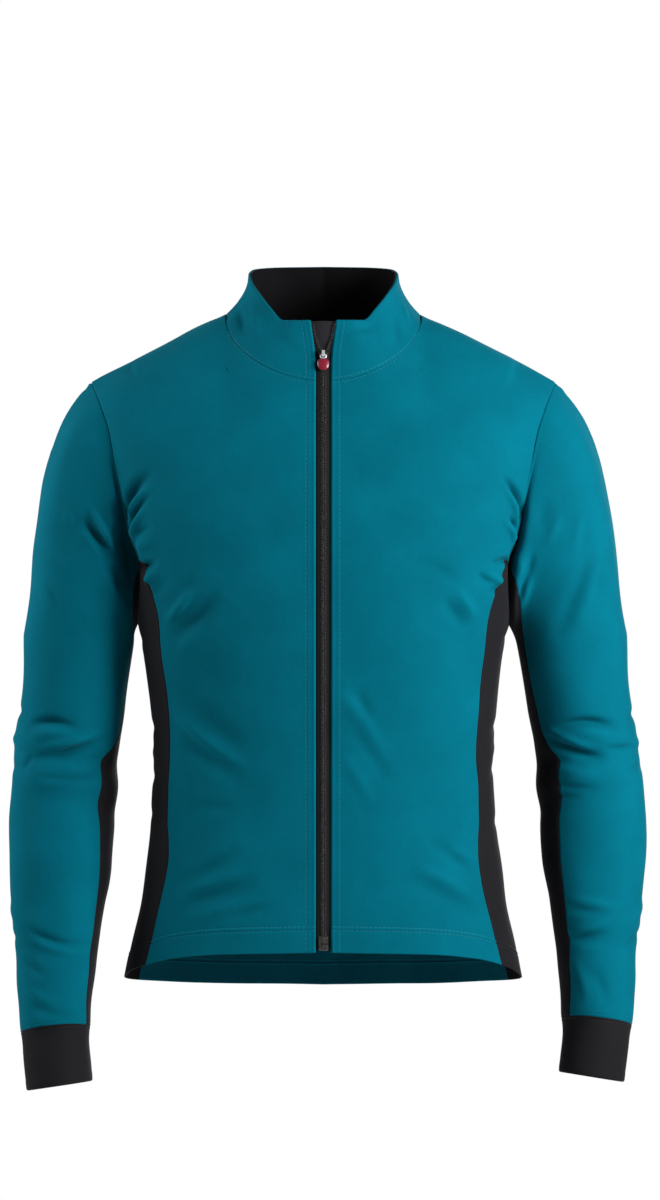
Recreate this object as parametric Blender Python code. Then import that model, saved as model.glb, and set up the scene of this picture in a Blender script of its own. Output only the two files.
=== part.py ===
"""A long-sleeved cycling jacket in its worn form, hollow.

Metres, +Z up, +X towards the wearer's left, front facing -Y.
The origin is in the middle of the neck opening, at the neckline's mean height, where the jacket
rests on the neck and shoulders.  Every cut piece of cloth is a wall of its own: two fronts, a back,
two side panels, two sleeves, two undersleeves, two cuffs, a collar with its facing, and the wind
flap behind the zip.  The zip is two tapes, two chains, a bottom stop, a slider with its bridge, and
a pull on a wire link that swings under the bridge.
"""

import math

import bmesh
import bpy
import numpy as np
from mathutils import Matrix, Vector

# ---------------------------------------------------------------- named sizes, in metres
CLOTH = 0.0014  # thickness of the brushed shell cloth
CUFF_CLOTH = 0.0020  # the cuffs are doubled
FACING_CLOTH = 0.0010
FLAP_CLOTH = 0.0010
TAPE = 0.0008  # thickness of the zip tape
SEAM = 0.00017  # each piece stops this far short of its seam line
CLEAR = 0.0003  # between layers that lie on each other
ZIP_HALF = 0.0070  # from the centre line to the edge of each front
TAPE_HALF = 0.0150  # from the centre line to the outer edge of the tape
TAPE_GAP, CHAIN_GAP = 0.0004, 0.0002  # from the centre line to the tape's inner edge and the chain's
CHAIN_HALF = 0.0027
CHAIN_THICK = 0.0016
STOP_HALF, STOP_TALL, STOP_THICK = 0.0042, 0.0125, 0.0024
PLATE_THICK = 0.0011  # the slider's front plate
BRIDGE_HALF = 0.0014
LINK_HALF, LINK_TALL, WIRE = 0.0026, 0.0033, 0.00055
LINK_UP, LINK_OUT = -0.0010, 0.0038  # the link's upper bar, up the zip and out from the cloth's middle
PULL_THICK = 0.0020
FLAP_HALF = 0.0160
SLIDER_Z = -0.0238  # how far the zip is closed
COLLAR_OPEN = 0.0117  # half the opening between the collar's front edges, at the top
UNDERARM_Z = -0.2080  # where the fronts, sides and sleeves meet
UNDERARM_DROP = 0.0560  # how far the side panel's top edge dips under the arm
SHOULDER_X, SHOULDER_Z = 0.2134, -0.0440
NECK_X, NECK_Z = 0.0890, 0.0190

# ---------------------------------------------------------------- how many faces each way
LOW, HIGH = 12, 8  # rows below and above the underarm
NECK_F, NECK_B, SHOULDER = 5, 4, 4  # columns under the front neck, half the back neck, the shoulder
SIDE = 4  # columns across a side panel and an undersleeve
CAP, ARM, CUFF_ROWS, COLLAR_ROWS = 6, 14, 2, 3


# ---------------------------------------------------------------- tables
def table(names, rows):
    """Columns by name, from rows of numbers."""
    return dict(zip(names.split(), np.array(rows, float).T))


# Half width at the sides, the centre front's and centre back's y, and how square the front and back are.
TORSO = table(
    "z half_width front_y back_y front_square back_square",
    [
        (-0.640, 0.1930, -0.108, 0.124, 2.20, 2.20),
        (-0.589, 0.1817, -0.107, 0.119, 2.20, 2.20),
        (-0.557, 0.1743, -0.106, 0.115, 2.25, 2.20),
        (-0.520, 0.1672, -0.105, 0.106, 2.25, 2.20),
        (-0.483, 0.1622, -0.104, 0.098, 2.25, 2.20),
        (-0.440, 0.1572, -0.103, 0.093, 2.25, 2.20),
        (-0.390, 0.1552, -0.105, 0.092, 2.30, 2.20),
        (-0.336, 0.1590, -0.111, 0.098, 2.40, 2.25),
        (-0.281, 0.1670, -0.118, 0.107, 2.50, 2.30),
        (-0.230, 0.1765, -0.122, 0.114, 2.60, 2.35),
        (-0.180, 0.1910, -0.123, 0.118, 2.60, 2.40),
        (-0.130, 0.2045, -0.117, 0.118, 2.60, 2.40),
        (-0.080, 0.2170, -0.103, 0.111, 2.50, 2.40),
        (-0.045, 0.2270, -0.090, 0.101, 2.50, 2.40),
        (-0.015, 0.2330, -0.080, 0.090, 2.50, 2.40),
        (0.025, 0.2380, -0.066, 0.076, 2.50, 2.40),
    ],
)
# The top line of the shoulder, and over how far down the front and back roll away from it.
RIDGE = table(
    "x z front_roll back_roll",
    [
        (0.0000, 0.0850, 0.130, 0.130),
        (0.0300, 0.0710, 0.130, 0.130),
        (0.0600, 0.0450, 0.130, 0.130),
        (0.0800, 0.0265, 0.128, 0.128),
        (0.0890, 0.0190, 0.125, 0.125),
        (0.1075, 0.0102, 0.115, 0.118),
        (0.1240, 0.0020, 0.106, 0.110),
        (0.1390, -0.0056, 0.098, 0.102),
        (0.1688, -0.0204, 0.084, 0.090),
        (0.1955, -0.0344, 0.072, 0.078),
        (0.2134, -0.0440, 0.064, 0.070),
        (0.2400, -0.0610, 0.060, 0.064),
    ],
)
# Where the front's seam with the side panel runs, as a share of the half width, and the back's.
SIDE_SEAM = table(
    "z front_share back_share",
    [
        (-0.6100, 0.915, 0.945),
        (-0.5706, 0.902, 0.935),
        (-0.5340, 0.891, 0.928),
        (-0.4980, 0.873, 0.925),
        (-0.4790, 0.866, 0.925),
        (-0.4620, 0.876, 0.925),
        (-0.4430, 0.896, 0.925),
        (-0.4160, 0.901, 0.925),
        (-0.3890, 0.889, 0.925),
        (-0.3350, 0.882, 0.928),
        (-0.2980, 0.884, 0.930),
        (-0.2620, 0.873, 0.930),
        (-0.2300, 0.890, 0.930),
        (-0.2080, 0.905, 0.930),
    ],
)
# The hem's height, by the angle round the body: 0 at the centre front, 90 at the side, 180 at the centre back.
HEM = table(
    "angle z",
    [
        (0, -0.5582),
        (30, -0.5612),
        (50, -0.5672),
        (66, -0.5760),
        (90, -0.5905),
        (125, -0.6010),
        (155, -0.6070),
        (180, -0.6090),
    ],
)
# The front neckline, from the zip to the shoulder seam, and half of the back neckline from the centre back.
NECK_FRONT = table(
    "x z",
    [
        (0.0070, -0.0472),
        (0.0167, -0.0462),
        (0.0338, -0.0420),
        (0.0520, -0.0345),
        (0.0704, -0.0220),
        (0.0825, -0.0080),
        (0.0880, 0.0060),
        (0.0890, 0.0190),
    ],
)
NECK_BACK = table(
    "x z",
    [
        (0.0000, 0.0130),
        (0.0300, 0.0140),
        (0.0600, 0.0165),
        (0.0800, 0.0190),
        (0.0890, 0.0190),
    ],
)
# The armhole in front and behind, from the underarm corner up to the shoulder.
ARM_FRONT = table(
    "x z",
    [
        (0.1655, -0.2080),
        (0.1702, -0.1960),
        (0.1748, -0.1808),
        (0.1800, -0.1573),
        (0.1880, -0.1202),
        (0.1940, -0.0903),
        (0.2015, -0.0690),
        (0.2134, -0.0440),
    ],
)
ARM_BACK = table(
    "x z",
    [
        (0.1701, -0.2080),
        (0.1765, -0.1730),
        (0.1830, -0.1400),
        (0.1905, -0.1060),
        (0.2010, -0.0720),
        (0.2134, -0.0440),
    ],
)
# The sleeve below the armhole: the middle line of the arm, the half widths across and front to back.
SLEEVE = table(
    "z x y across deep",
    [
        (-0.2808, 0.2268, 0.004, 0.0502, 0.0560),
        (-0.3360, 0.2330, 0.007, 0.0472, 0.0535),
        (-0.3728, 0.2386, 0.008, 0.0468, 0.0520),
        (-0.4098, 0.2412, 0.006, 0.0477, 0.0500),
        (-0.4464, 0.2443, 0.001, 0.0480, 0.0490),
        (-0.4828, 0.2447, -0.006, 0.0466, 0.0465),
        (-0.5189, 0.2465, -0.014, 0.0420, 0.0430),
        (-0.5548, 0.2468, -0.023, 0.0375, 0.0395),
        (-0.5905, 0.2467, -0.031, 0.0340, 0.0365),
        (-0.6261, 0.2461, -0.040, 0.0312, 0.0340),
        (-0.6439, 0.2458, -0.044, 0.0292, 0.0322),
        (-0.6788, 0.2417, -0.052, 0.0287, 0.0320),
    ],
)
SLEEVE_TOP_Z, CUFF_TOP_Z, CUFF_END_Z = -0.2808, -0.6310, -0.6796
CAP_FLARE = 0.022  # how far the cap's outer side is held in above the sleeve's first row
CUFF_LEAN = 0.0025  # how much lower each cuff sits on its outer side
# How far each arm is held out and up from that line, wearer's left and right.
POSE = table(
    "z left_out left_up right_out right_up",
    [
        (-0.2808, 0.0018, 0.000, -0.0018, 0.000),
        (-0.3360, 0.0022, 0.000, -0.0022, 0.000),
        (-0.4464, 0.0037, 0.001, -0.0037, -0.001),
        (-0.5548, 0.0028, 0.003, -0.0028, -0.003),
        (-0.6788, 0.0016, 0.004, -0.0026, -0.004),
    ],
)
# The undersleeve's two seams, as angles round the arm: 0 outwards, 90 forwards, 180 towards the body.
UNDER_SEAM = table(
    "z left_front right_front left_back right_back",
    [
        (-0.2808, 153, 170, 207, 213),
        (-0.3540, 148, 170, 207, 213),
        (-0.3728, 140, 158, 206, 212),
        (-0.3912, 129, 139, 205, 212),
        (-0.4098, 128, 136, 204, 212),
        (-0.4464, 134, 139, 203, 211),
        (-0.4828, 135, 144, 203, 210),
        (-0.5189, 136, 150, 203, 210),
        (-0.5905, 138, 152, 204, 210),
        (-0.6275, 143, 156, 206, 210),
    ],
)
# Which way the sleeve leaves the armhole, by the angle round it, and how strongly it holds that way.
CAP_WAY = table(
    "angle out forward up pull",
    [
        (0, 0.72, 0.00, -0.69, 0.90),
        (45, 0.80, 0.22, -0.56, 0.80),
        (90, 0.80, 0.12, -0.59, 0.62),
        (135, 0.62, 0.05, -0.78, 0.60),
        (180, 0.42, 0.00, -0.91, 0.70),
        (225, 0.62, -0.05, -0.78, 0.60),
        (270, 0.82, -0.20, -0.54, 0.70),
        (315, 0.80, -0.26, -0.55, 0.85),
        (360, 0.72, 0.00, -0.69, 0.90),
    ],
)
# The collar's top edge, by the share of the way round from the zip to the centre back, and how hollow
# the collar is below it.
COLLAR_TOP = table(
    "share x y z hollow",
    [
        (0.00, 0.0117, -0.0740, 0.0077, -0.10),
        (0.10, 0.0240, -0.0725, 0.0078, -0.10),
        (0.20, 0.0360, -0.0665, 0.0082, -0.05),
        (0.29, 0.0480, -0.0565, 0.0205, 0.20),
        (0.38, 0.0585, -0.0410, 0.0345, 0.60),
        (0.48, 0.0660, -0.0200, 0.0465, 0.90),
        (0.58, 0.0685, -0.0010, 0.0555, 0.95),
        (0.70, 0.0655, 0.0210, 0.0610, 0.80),
        (0.84, 0.0430, 0.0440, 0.0650, 0.50),
        (1.00, 0.0000, 0.0540, 0.0665, 0.40),
    ],
)


# The slider's plate, its bridge seen from the side, and the pull: up the zip from the slider's middle.
PLATE = table("up half", [(-0.0042, 0.0028), (-0.0020, 0.0034), (0.0022, 0.0043), (0.0040, 0.0036)])
BRIDGE = table(
    "up out",
    [
        (-0.0031, 0.0000),
        (-0.0030, 0.0022),
        (-0.0020, 0.0031),
        (0.0020, 0.0031),
        (0.0030, 0.0022),
        (0.0031, 0.0000),
        (0.0020, 0.0000),
        (0.0019, 0.0016),
        (0.0013, 0.0021),
        (-0.0013, 0.0021),
        (-0.0019, 0.0016),
        (-0.0020, 0.0000),
    ],
)
PULL = table(
    "up half",
    [
        (-0.00520, 0.0036),
        (-0.00620, 0.0047),
        (-0.00800, 0.0053),
        (-0.01060, 0.0055),
        (-0.01310, 0.0050),
        (-0.01480, 0.0038),
        (-0.01560, 0.0024),
    ],
)


def smooth(xs, ys, x):
    """The value at x of a smooth curve through the table's points, with no overshoot."""
    x = np.clip(np.asarray(x, float), xs[0], xs[-1])
    h, d = np.diff(xs), np.diff(ys) / np.diff(xs)
    m = np.empty_like(ys)
    m[0], m[-1] = d[0], d[-1]
    for k in range(1, len(xs) - 1):
        same = d[k - 1] * d[k] > 0
        w1, w2 = 2 * h[k] + h[k - 1], h[k] + 2 * h[k - 1]
        m[k] = (w1 + w2) / (w1 / d[k - 1] + w2 / d[k]) if same else 0.0
    i = np.clip(np.searchsorted(xs, x, side="right") - 1, 0, len(xs) - 2)
    t = (x - xs[i]) / h[i]
    return (
        ys[i] * (1 + 2 * t) * (1 - t) ** 2
        + ys[i + 1] * t * t * (3 - 2 * t)
        + h[i] * (m[i] * t * (1 - t) ** 2 - m[i + 1] * t * t * (1 - t))
    )


def at(tab, key, column, value):
    """A table's column, at a value of its key column, which may run either way."""
    k, c = tab[key], tab[column]
    return smooth(k, c, value) if k[0] < k[-1] else smooth(k[::-1], c[::-1], value)


def along(points, n):
    """n + 1 points evenly spaced along a smooth curve through the given ones."""
    points = np.asarray(points, float)
    step = np.concatenate([[0], np.cumsum(np.linalg.norm(np.diff(points, axis=0), axis=1))])
    fine = np.linspace(0, step[-1], 400)
    curve = np.stack([catmull(step, points[:, k], fine) for k in range(points.shape[1])], axis=1)
    run = np.concatenate([[0], np.cumsum(np.linalg.norm(np.diff(curve, axis=0), axis=1))])
    want = np.linspace(0, run[-1], n + 1)
    out = np.stack([np.interp(want, run, curve[:, k]) for k in range(points.shape[1])], axis=1)
    out[0], out[-1] = points[0], points[-1]
    return out


def catmull(xs, ys, x):
    """A smooth curve through points, which may overshoot a little where it bends."""
    m = np.gradient(ys, xs)
    i = np.clip(np.searchsorted(xs, x, side="right") - 1, 0, len(xs) - 2)
    h = xs[i + 1] - xs[i]
    t = (x - xs[i]) / h
    return (
        ys[i] * (1 + 2 * t) * (1 - t) ** 2
        + ys[i + 1] * t * t * (3 - 2 * t)
        + h * (m[i] * t * (1 - t) ** 2 - m[i + 1] * t * t * (1 - t))
    )


# ---------------------------------------------------------------- the body of the jacket as a surface
def body_y(x, z, face):
    """The front's (face -1) or back's (face +1) y at a place seen from the front."""
    x = np.abs(np.asarray(x, float))
    name = "front" if face < 0 else "back"
    deep = at(TORSO, "z", name + "_y", z)
    p = at(TORSO, "z", name + "_square", z)
    r = np.clip(x / at(TORSO, "z", "half_width", z), 0, 1)
    flat = deep * np.maximum(1 - r**p, 0) ** (1 / p)
    drop = np.clip((at(RIDGE, "x", "z", x) - z) / at(RIDGE, "x", name + "_roll", x), 0, 1)
    return flat * np.sqrt(1 - (1 - drop) ** 2)


def ring(angle, z):
    """A point of the body below the arms, by its angle: 0 centre front, 90 side, 180 centre back."""
    a = np.radians(np.asarray(angle, float))
    name = np.where(np.asarray(angle) <= 90, 0, 1)
    p = np.where(name == 0, at(TORSO, "z", "front_square", z), at(TORSO, "z", "back_square", z))
    deep = np.where(name == 0, at(TORSO, "z", "front_y", z), at(TORSO, "z", "back_y", z))
    x = at(TORSO, "z", "half_width", z) * np.abs(np.sin(a)) ** (2 / p)
    y = deep * np.abs(np.cos(a)) ** (2 / p)
    return np.stack([x, y, np.broadcast_to(z, x.shape)], axis=-1)


def seam_angle(z, face):
    """The angle of the front's or back's seam with the side panel."""
    name = "front" if face < 0 else "back"
    share = at(SIDE_SEAM, "z", name + "_share", z)
    p = at(TORSO, "z", name + "_square", z)
    a = np.degrees(np.arcsin(share ** (p / 2)))
    return a if face < 0 else 180 - a


def hem_point(angle):
    return ring(angle, at(HEM, "angle", "z", angle))


def hem_corner(face):
    """The angle at which a side seam meets the hem."""
    a = 60.0 if face < 0 else 120.0
    for _ in range(30):
        a = float(seam_angle(at(HEM, "angle", "z", a), face))
    return a


def patch(bottom, top, left, right, face):
    """A grid between four edges given in x and z, on the body's surface, true to its edges in y too."""
    n, m = len(bottom) - 1, len(left) - 1
    u = np.linspace(0, 1, n + 1)[None, :, None]
    v = np.linspace(0, 1, m + 1)[:, None, None]
    flat = (1 - u) * left[:, None, ::2] + u * right[:, None, ::2]
    flat = flat + v**3 * (top[None, :, ::2] - (1 - u) * top[0, ::2] - u * top[-1, ::2])
    flat = flat + (1 - v) ** 3 * (bottom[None, :, ::2] - (1 - u) * bottom[0, ::2] - u * bottom[-1, ::2])
    y = body_y(flat[..., 0], flat[..., 1], face)
    out = np.stack([flat[..., 0], y, flat[..., 1]], axis=-1)
    fix = right[:, 1] - out[:, -1, 1]
    out[..., 1] += u[..., 0] ** 4 * fix[:, None]
    out[0], out[-1], out[:, 0], out[:, -1] = bottom, top, left, right
    return out


def side_edge(face, n_low, n_high):
    """A front's or back's outer edge: up the side seam, then up the armhole to the shoulder."""
    low_a = hem_corner(face)
    z0, z1 = float(at(HEM, "angle", "z", low_a)), UNDERARM_Z
    z = np.linspace(z0, z1, 60)
    seam = ring(seam_angle(z, face), z)
    arm = armhole(face)
    seam[-1] = arm[0]
    return np.concatenate([along(seam, n_low)[:-1], along(arm, n_high)])


def armhole(face):
    tab = ARM_FRONT if face < 0 else ARM_BACK
    pts = np.stack([tab["x"], body_y(tab["x"], tab["z"], face), tab["z"]], axis=-1)
    pts[-1] = (SHOULDER_X, 0.0, SHOULDER_Z)
    return along(pts, 60)


def top_edge(face, n_neck, n_shoulder):
    tab = NECK_FRONT if face < 0 else NECK_BACK
    neck = np.stack([tab["x"], body_y(tab["x"], tab["z"], face), tab["z"]], axis=-1)
    neck[-1] = (NECK_X, 0.0, NECK_Z)
    x = np.linspace(NECK_X, SHOULDER_X, 30)
    shoulder = np.stack([x, 0 * x, at(RIDGE, "x", "z", x)], axis=-1)
    shoulder[0], shoulder[-1] = neck[-1], (SHOULDER_X, 0.0, SHOULDER_Z)
    return np.concatenate([along(neck, n_neck)[:-1], along(shoulder, n_shoulder)])


def half_body(face, n_neck, n_shoulder, n_low, n_high):
    """Half of the front or back, on the +X side, hem to top and centre to side."""
    right = side_edge(face, n_low, n_high)
    top = top_edge(face, n_neck, n_shoulder)
    n, x0 = n_neck + n_shoulder, (ZIP_HALF if face < 0 else 0.0)
    if face < 0:
        p = float(at(TORSO, "z", "front_square", HEM["z"][0]))
        w = float(at(TORSO, "z", "half_width", HEM["z"][0]))
        first = math.degrees(math.asin((x0 / w) ** (p / 2)))
        angles = np.linspace(first, hem_corner(face), n + 1)
    else:
        angles = np.linspace(180.0, hem_corner(face), n + 1)
    bottom = hem_point(angles)
    bottom[0, 0], bottom[-1] = x0, right[0]
    z = np.concatenate(
        [
            np.linspace(bottom[0, 2], UNDERARM_Z, n_low + 1)[:-1],
            np.linspace(UNDERARM_Z, top[0, 2], n_high + 1),
        ]
    )
    left = np.stack([0 * z + x0, body_y(0 * z + x0, z, face), z], axis=-1)
    left[0], left[-1] = bottom[0], top[0]
    return patch(bottom, top, left, right, face)


def side_panel(n_across, n_low):
    """The +X side panel, hem to underarm and front to back."""
    f, b = side_edge(-1, n_low, 4)[: n_low + 1], side_edge(1, n_low, 4)[: n_low + 1]
    u = np.linspace(0, 1, n_across + 1)
    af, ab = np.empty(n_low + 1), np.empty(n_low + 1)
    for i in range(n_low + 1):
        af[i], ab[i] = float(seam_angle(f[i, 2], -1)), float(seam_angle(b[i, 2], 1))
    out = np.empty((n_low + 1, n_across + 1, 3))
    v = np.linspace(0, 1, n_low + 1)
    for j, uj in enumerate(u):
        ang = af + (ab - af) * uj
        z = f[:, 2] + (b[:, 2] - f[:, 2]) * uj - UNDERARM_DROP * math.sin(math.pi * uj) * v**2
        if 0 < j < n_across:
            zh = float(at(HEM, "angle", "z", ang[0]))
            z = z + (1 - v) ** 3 * (zh - z[0])
        out[:, j] = ring(ang, z)
    fix_f, fix_b = f - out[:, 0], b - out[:, -1]
    w = u[None, :, None]
    out = out + (1 - w) ** 3 * fix_f[:, None] + w**3 * fix_b[:, None]
    out[:, 0], out[:, -1] = f, b
    return out


# ---------------------------------------------------------------- the sleeves
def arm_axis(z, side):
    """The middle of the arm at a height, for the wearer's left (side 1) or right (side -1), as if on +X."""
    name = "left" if side > 0 else "right"
    x = at(SLEEVE, "z", "x", z) + at(POSE, "z", name + "_out", z)
    return np.stack([x, at(SLEEVE, "z", "y", z), z + at(POSE, "z", name + "_up", z)], axis=-1)


def arm_ring(z, angles, side, swell=0.0):
    """Points round the arm at a height, square to the arm, by angle: 0 outwards, 90 forwards."""
    mid = arm_axis(z, side)
    way = arm_axis(z - 0.012, side) - arm_axis(min(z + 0.012, SLEEVE_TOP_Z), side)
    way = way / np.linalg.norm(way)
    out = np.array([1.0, 0, 0]) - way[0] * way
    out = out / np.linalg.norm(out)
    fore = np.cross(way, out)
    if fore[1] > 0:
        fore = -fore
    a = np.radians(angles)
    across, deep = float(at(SLEEVE, "z", "across", z)), float(at(SLEEVE, "z", "deep", z))
    r = 1 + swell
    t = float(np.clip((-0.560 - z) / 0.065, 0, 1))
    lean = np.outer(np.cos(a), [0, 0, -CUFF_LEAN * t * t * (3 - 2 * t)])
    return mid + np.outer(across * np.cos(a) * r, out) + np.outer(deep * np.sin(a) * r, fore) + lean, way


def sleeve_angles(z, side, n_high, n_side):
    """The angle of each column round the arm, from the back seam over the top to the front seam, then under."""
    name = "left" if side > 0 else "right"
    front = float(at(UNDER_SEAM, "z", name + "_front", z))
    back = float(at(UNDER_SEAM, "z", name + "_back", z))
    upper = np.concatenate([np.linspace(back - 360, 0, n_high + 1)[:-1], np.linspace(0, front, n_high + 1)])
    return upper, np.linspace(front, back, n_side + 1)


def arm_folds(z, angles, side):
    """The sleeve's largest folds: how far each column stands out, as a share of the arm's half width."""
    out = 0 * np.asarray(angles, float)
    for name, zc, wide, angle, spread, share in zip(*(ARM_FOLDS[k] for k in "side z wide angle spread share".split())):
        if name and name != side:
            continue
        turn = (np.asarray(angles) - angle + 180) % 360 - 180
        out = out + share * np.exp(-(((z - zc) / wide) ** 2)) * np.exp(-((turn / spread) ** 2))
    return out


# Which arm (0 for both), the fold's height, its half width along the arm, its middle angle and reach round it, how deep.
ARM_FOLDS = table(
    "side z wide angle spread share",
    [
        (0, -0.372, 0.011, 75, 60, 0.050),
        (0, -0.392, 0.010, 120, 60, -0.060),
        (0, -0.412, 0.011, 110, 70, 0.055),
        (0, -0.434, 0.011, 130, 60, -0.040),
        (0, -0.545, 0.012, 70, 70, 0.045),
        (0, -0.566, 0.010, 90, 70, -0.045),
        (0, -0.590, 0.012, 60, 80, 0.035),
        (0, -0.628, 0.012, 100, 90, 0.045),
    ],
)


def sleeve_grid(side, n_high, n_side, n_cap, n_arm):
    """(upper sleeve, undersleeve) grids on +X, rows from the armhole to the cuff."""
    front, back = armhole(-1), armhole(1)
    under = side_panel(n_side, 12)[-1]
    loop_up = np.concatenate([along(back, n_high)[:-1], along(front, n_high)[::-1]])
    z1 = SLEEVE_TOP_Z
    zs = np.linspace(z1, CUFF_TOP_Z, n_arm + 1)
    up, un = [], []
    au, an = sleeve_angles(z1, side, n_high, n_side)
    for loop, ang, store in ((loop_up, au, up), (under, an, un)):
        first, way = arm_ring(z1, ang, side)
        gap = np.linalg.norm(first - loop, axis=1)
        turn = ang % 360
        start = np.stack(
            [at(CAP_WAY, "angle", "out", turn), -at(CAP_WAY, "angle", "forward", turn), at(CAP_WAY, "angle", "up", turn)],
            axis=-1,
        )
        start = start / np.linalg.norm(start, axis=1)[:, None]
        pull = at(CAP_WAY, "angle", "pull", turn)
        t0 = start * (gap * pull * 1.15)[:, None]
        t1 = way[None, :] * (gap * 0.85)[:, None]
        t1[:, 0] += CAP_FLARE * np.clip(np.cos(np.radians(turn)), 0, 1)
        for k in range(n_cap):
            t = k / n_cap
            h00, h10 = (1 + 2 * t) * (1 - t) ** 2, t * (1 - t) ** 2
            h01, h11 = t * t * (3 - 2 * t), -t * t * (1 - t)
            store.append(h00 * loop + h10 * t0 + h01 * first + h11 * t1)
    for z in zs:
        au, an = sleeve_angles(z, side, n_high, n_side)
        up.append(arm_ring(z, au, side, arm_folds(z, au, side))[0])
        un.append(arm_ring(z, an, side, arm_folds(z, an, side))[0])
    return np.array(up), np.array(un)


def cuff_grid(side, n_high, n_side, rows):
    """The cuff as a closed tube, rows down from the sleeve's end, columns round from the back seam."""
    au, an = sleeve_angles(CUFF_TOP_Z, side, n_high, n_side)
    ang = np.concatenate([au, an[1:-1]])
    out = []
    for z in np.linspace(CUFF_TOP_Z, CUFF_END_Z, rows + 1):
        out.append(arm_ring(z, ang, side, arm_folds(z, ang, side) if z == CUFF_TOP_Z else 0.0)[0])
    return np.array(out)


# ---------------------------------------------------------------- the collar
def collar_grid(n_front, n_back, rows):
    """Half the collar on +X, from the zip to the centre back, base to top."""
    f = top_edge(-1, n_front, SHOULDER)[: n_front + 1]
    b = top_edge(1, n_back, SHOULDER)[: n_back + 1][::-1]
    base = np.concatenate([f, b[1:]])
    run = np.concatenate([[0], np.cumsum(np.linalg.norm(np.diff(base, axis=0), axis=1))])
    share = run / run[-1]
    top = np.stack([at(COLLAR_TOP, "share", k, share) for k in "xyz"], axis=-1)
    out = []
    lean = (top - base) * np.array([1, 1, 0]) * at(COLLAR_TOP, "share", "hollow", share)[:, None]
    for h in np.linspace(0, 1, rows + 1):
        out.append(base * (1 - h) + top * h + lean * (h * (1 - h)))
    out = np.array(out)
    # Its front edge stays beside the zip up to the slider, then falls open.
    rise = (out[:, 0, 2] - out[0, 0, 2]) / (out[-1, 0, 2] - out[0, 0, 2])
    out[:, 0, 0] = ZIP_HALF + (COLLAR_OPEN - ZIP_HALF) * np.clip((rise - 0.35) / 0.65, 0, 1) ** 1.2
    return out


# ---------------------------------------------------------------- the zip
def zip_line(side):
    """Beside the zip, bottom to top: the cloth's edge, its next column, and the outward normals there."""
    front_piece, neck_piece = Cloth.all["front_" + side], Cloth.all["collar"]
    a, b = (-1, -2) if side == "left" else (0, 1)
    pick = lambda grids: np.concatenate([grids[0], grids[1]])
    return {
        "edge": pick((front_piece.grid[:, 0], neck_piece.grid[1:, a])),
        "next": pick((front_piece.grid[:, 1], neck_piece.grid[1:, b])),
        "edge_n": pick((front_piece.n[:, 0], neck_piece.n[1:, a])),
        "next_n": pick((front_piece.n[:, 1], neck_piece.n[1:, b])),
    }


def cut(line, low, high):
    """The part of the line between two heights, with a row at each."""
    z = line["edge"][:, 2]
    heights = [low] + [h for h in z if low + 1e-4 < h < high - 1e-4] + [high]
    return {k: np.stack([np.interp(heights, z, v[:, c]) for c in range(3)], axis=1) for k, v in line.items()}


def strip(line, shares, inwards):
    """A strip along the line: each column's distance into the cloth, or less than nothing out over the gap."""
    grid, n = [], []
    step = line["next"] - line["edge"]
    size = np.linalg.norm(step, axis=1, keepdims=True)
    for d in shares:
        s = max(d, 0.0) / size
        away = line["edge_n"] * (1 - s) + line["next_n"] * s
        grid.append(line["edge"] + step * s + np.array([min(d, 0.0), 0, 0]) - away * inwards)
        n.append(away)
    return np.stack(grid, axis=1), np.stack(n, axis=1)


# ---------------------------------------------------------------- walls
def normals(grid, closed=False):
    g = np.concatenate([grid[:, -1:], grid, grid[:, :1]], axis=1) if closed else grid
    du = np.gradient(g, axis=1)
    if closed:
        du = du[:, 1:-1]
    dv = np.gradient(grid, axis=0)
    n = np.cross(du, dv)
    return n / np.maximum(np.linalg.norm(n, axis=2, keepdims=True), 1e-12)


class Cloth:
    """One cut piece: its middle surface as a grid, its outward normals, and how far each edge is drawn in."""

    all = {}

    def __init__(self, name, grid, thick, material, outward=None, closed=False, inset=(1, 1, 1, 1), n=None):
        self.name, self.grid, self.thick, self.material = name, grid, thick, material
        self.closed, self.inset = closed, inset
        if n is None:
            n = normals(grid, closed)
            mid = grid.shape[0] // 2, grid.shape[1] // 2
            if np.dot(n[mid], outward(grid[mid])) < 0:
                n = -n
        self.n = n
        Cloth.all[name] = self

    def edge_places(self):
        m, n = self.grid.shape[:2]
        places = {(0, j) for j in range(n)} | {(m - 1, j) for j in range(n)}
        if not self.closed:
            places |= {(i, 0) for i in range(m)} | {(i, n - 1) for i in range(m)}
        return places


def share_seam_normals():
    """Where pieces meet, they share one normal, so that their cut edges stand side by side."""
    meeting = {}
    for c in Cloth.all.values():
        for i, j in c.edge_places():
            meeting.setdefault(tuple(np.round(c.grid[i, j] * 1e5).astype(int)), []).append((c, i, j))
    for group in meeting.values():
        if len(group) > 1:
            total = sum(c.n[i, j] for c, i, j in group)
            total = total / np.linalg.norm(total)
            for c, i, j in group:
                c.n[i, j] = total


def drawn_in(c):
    """The grid with each edge moved in from its seam line, square to the seam."""
    g = c.grid.copy()
    m, n = g.shape[:2]
    low, high, first, last = (d * SEAM for d in c.inset)

    def move(line, inner, tangent_of, by):
        d = inner - line
        t = np.gradient(tangent_of, axis=0)
        t = t / np.maximum(np.linalg.norm(t, axis=1, keepdims=True), 1e-12)
        d = d - (d * t).sum(1, keepdims=True) * t
        return d / np.linalg.norm(d, axis=1, keepdims=True) * by

    shift = np.zeros_like(g)
    shift[0] += move(g[0], g[1], g[0], low)
    shift[-1] += move(g[-1], g[-2], g[-1], high)
    if not c.closed:
        shift[:, 0] += move(g[:, 0], g[:, 1], g[:, 0], first)
        shift[:, -1] += move(g[:, -1], g[:, -2], g[:, -1], last)
    return g + shift


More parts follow.
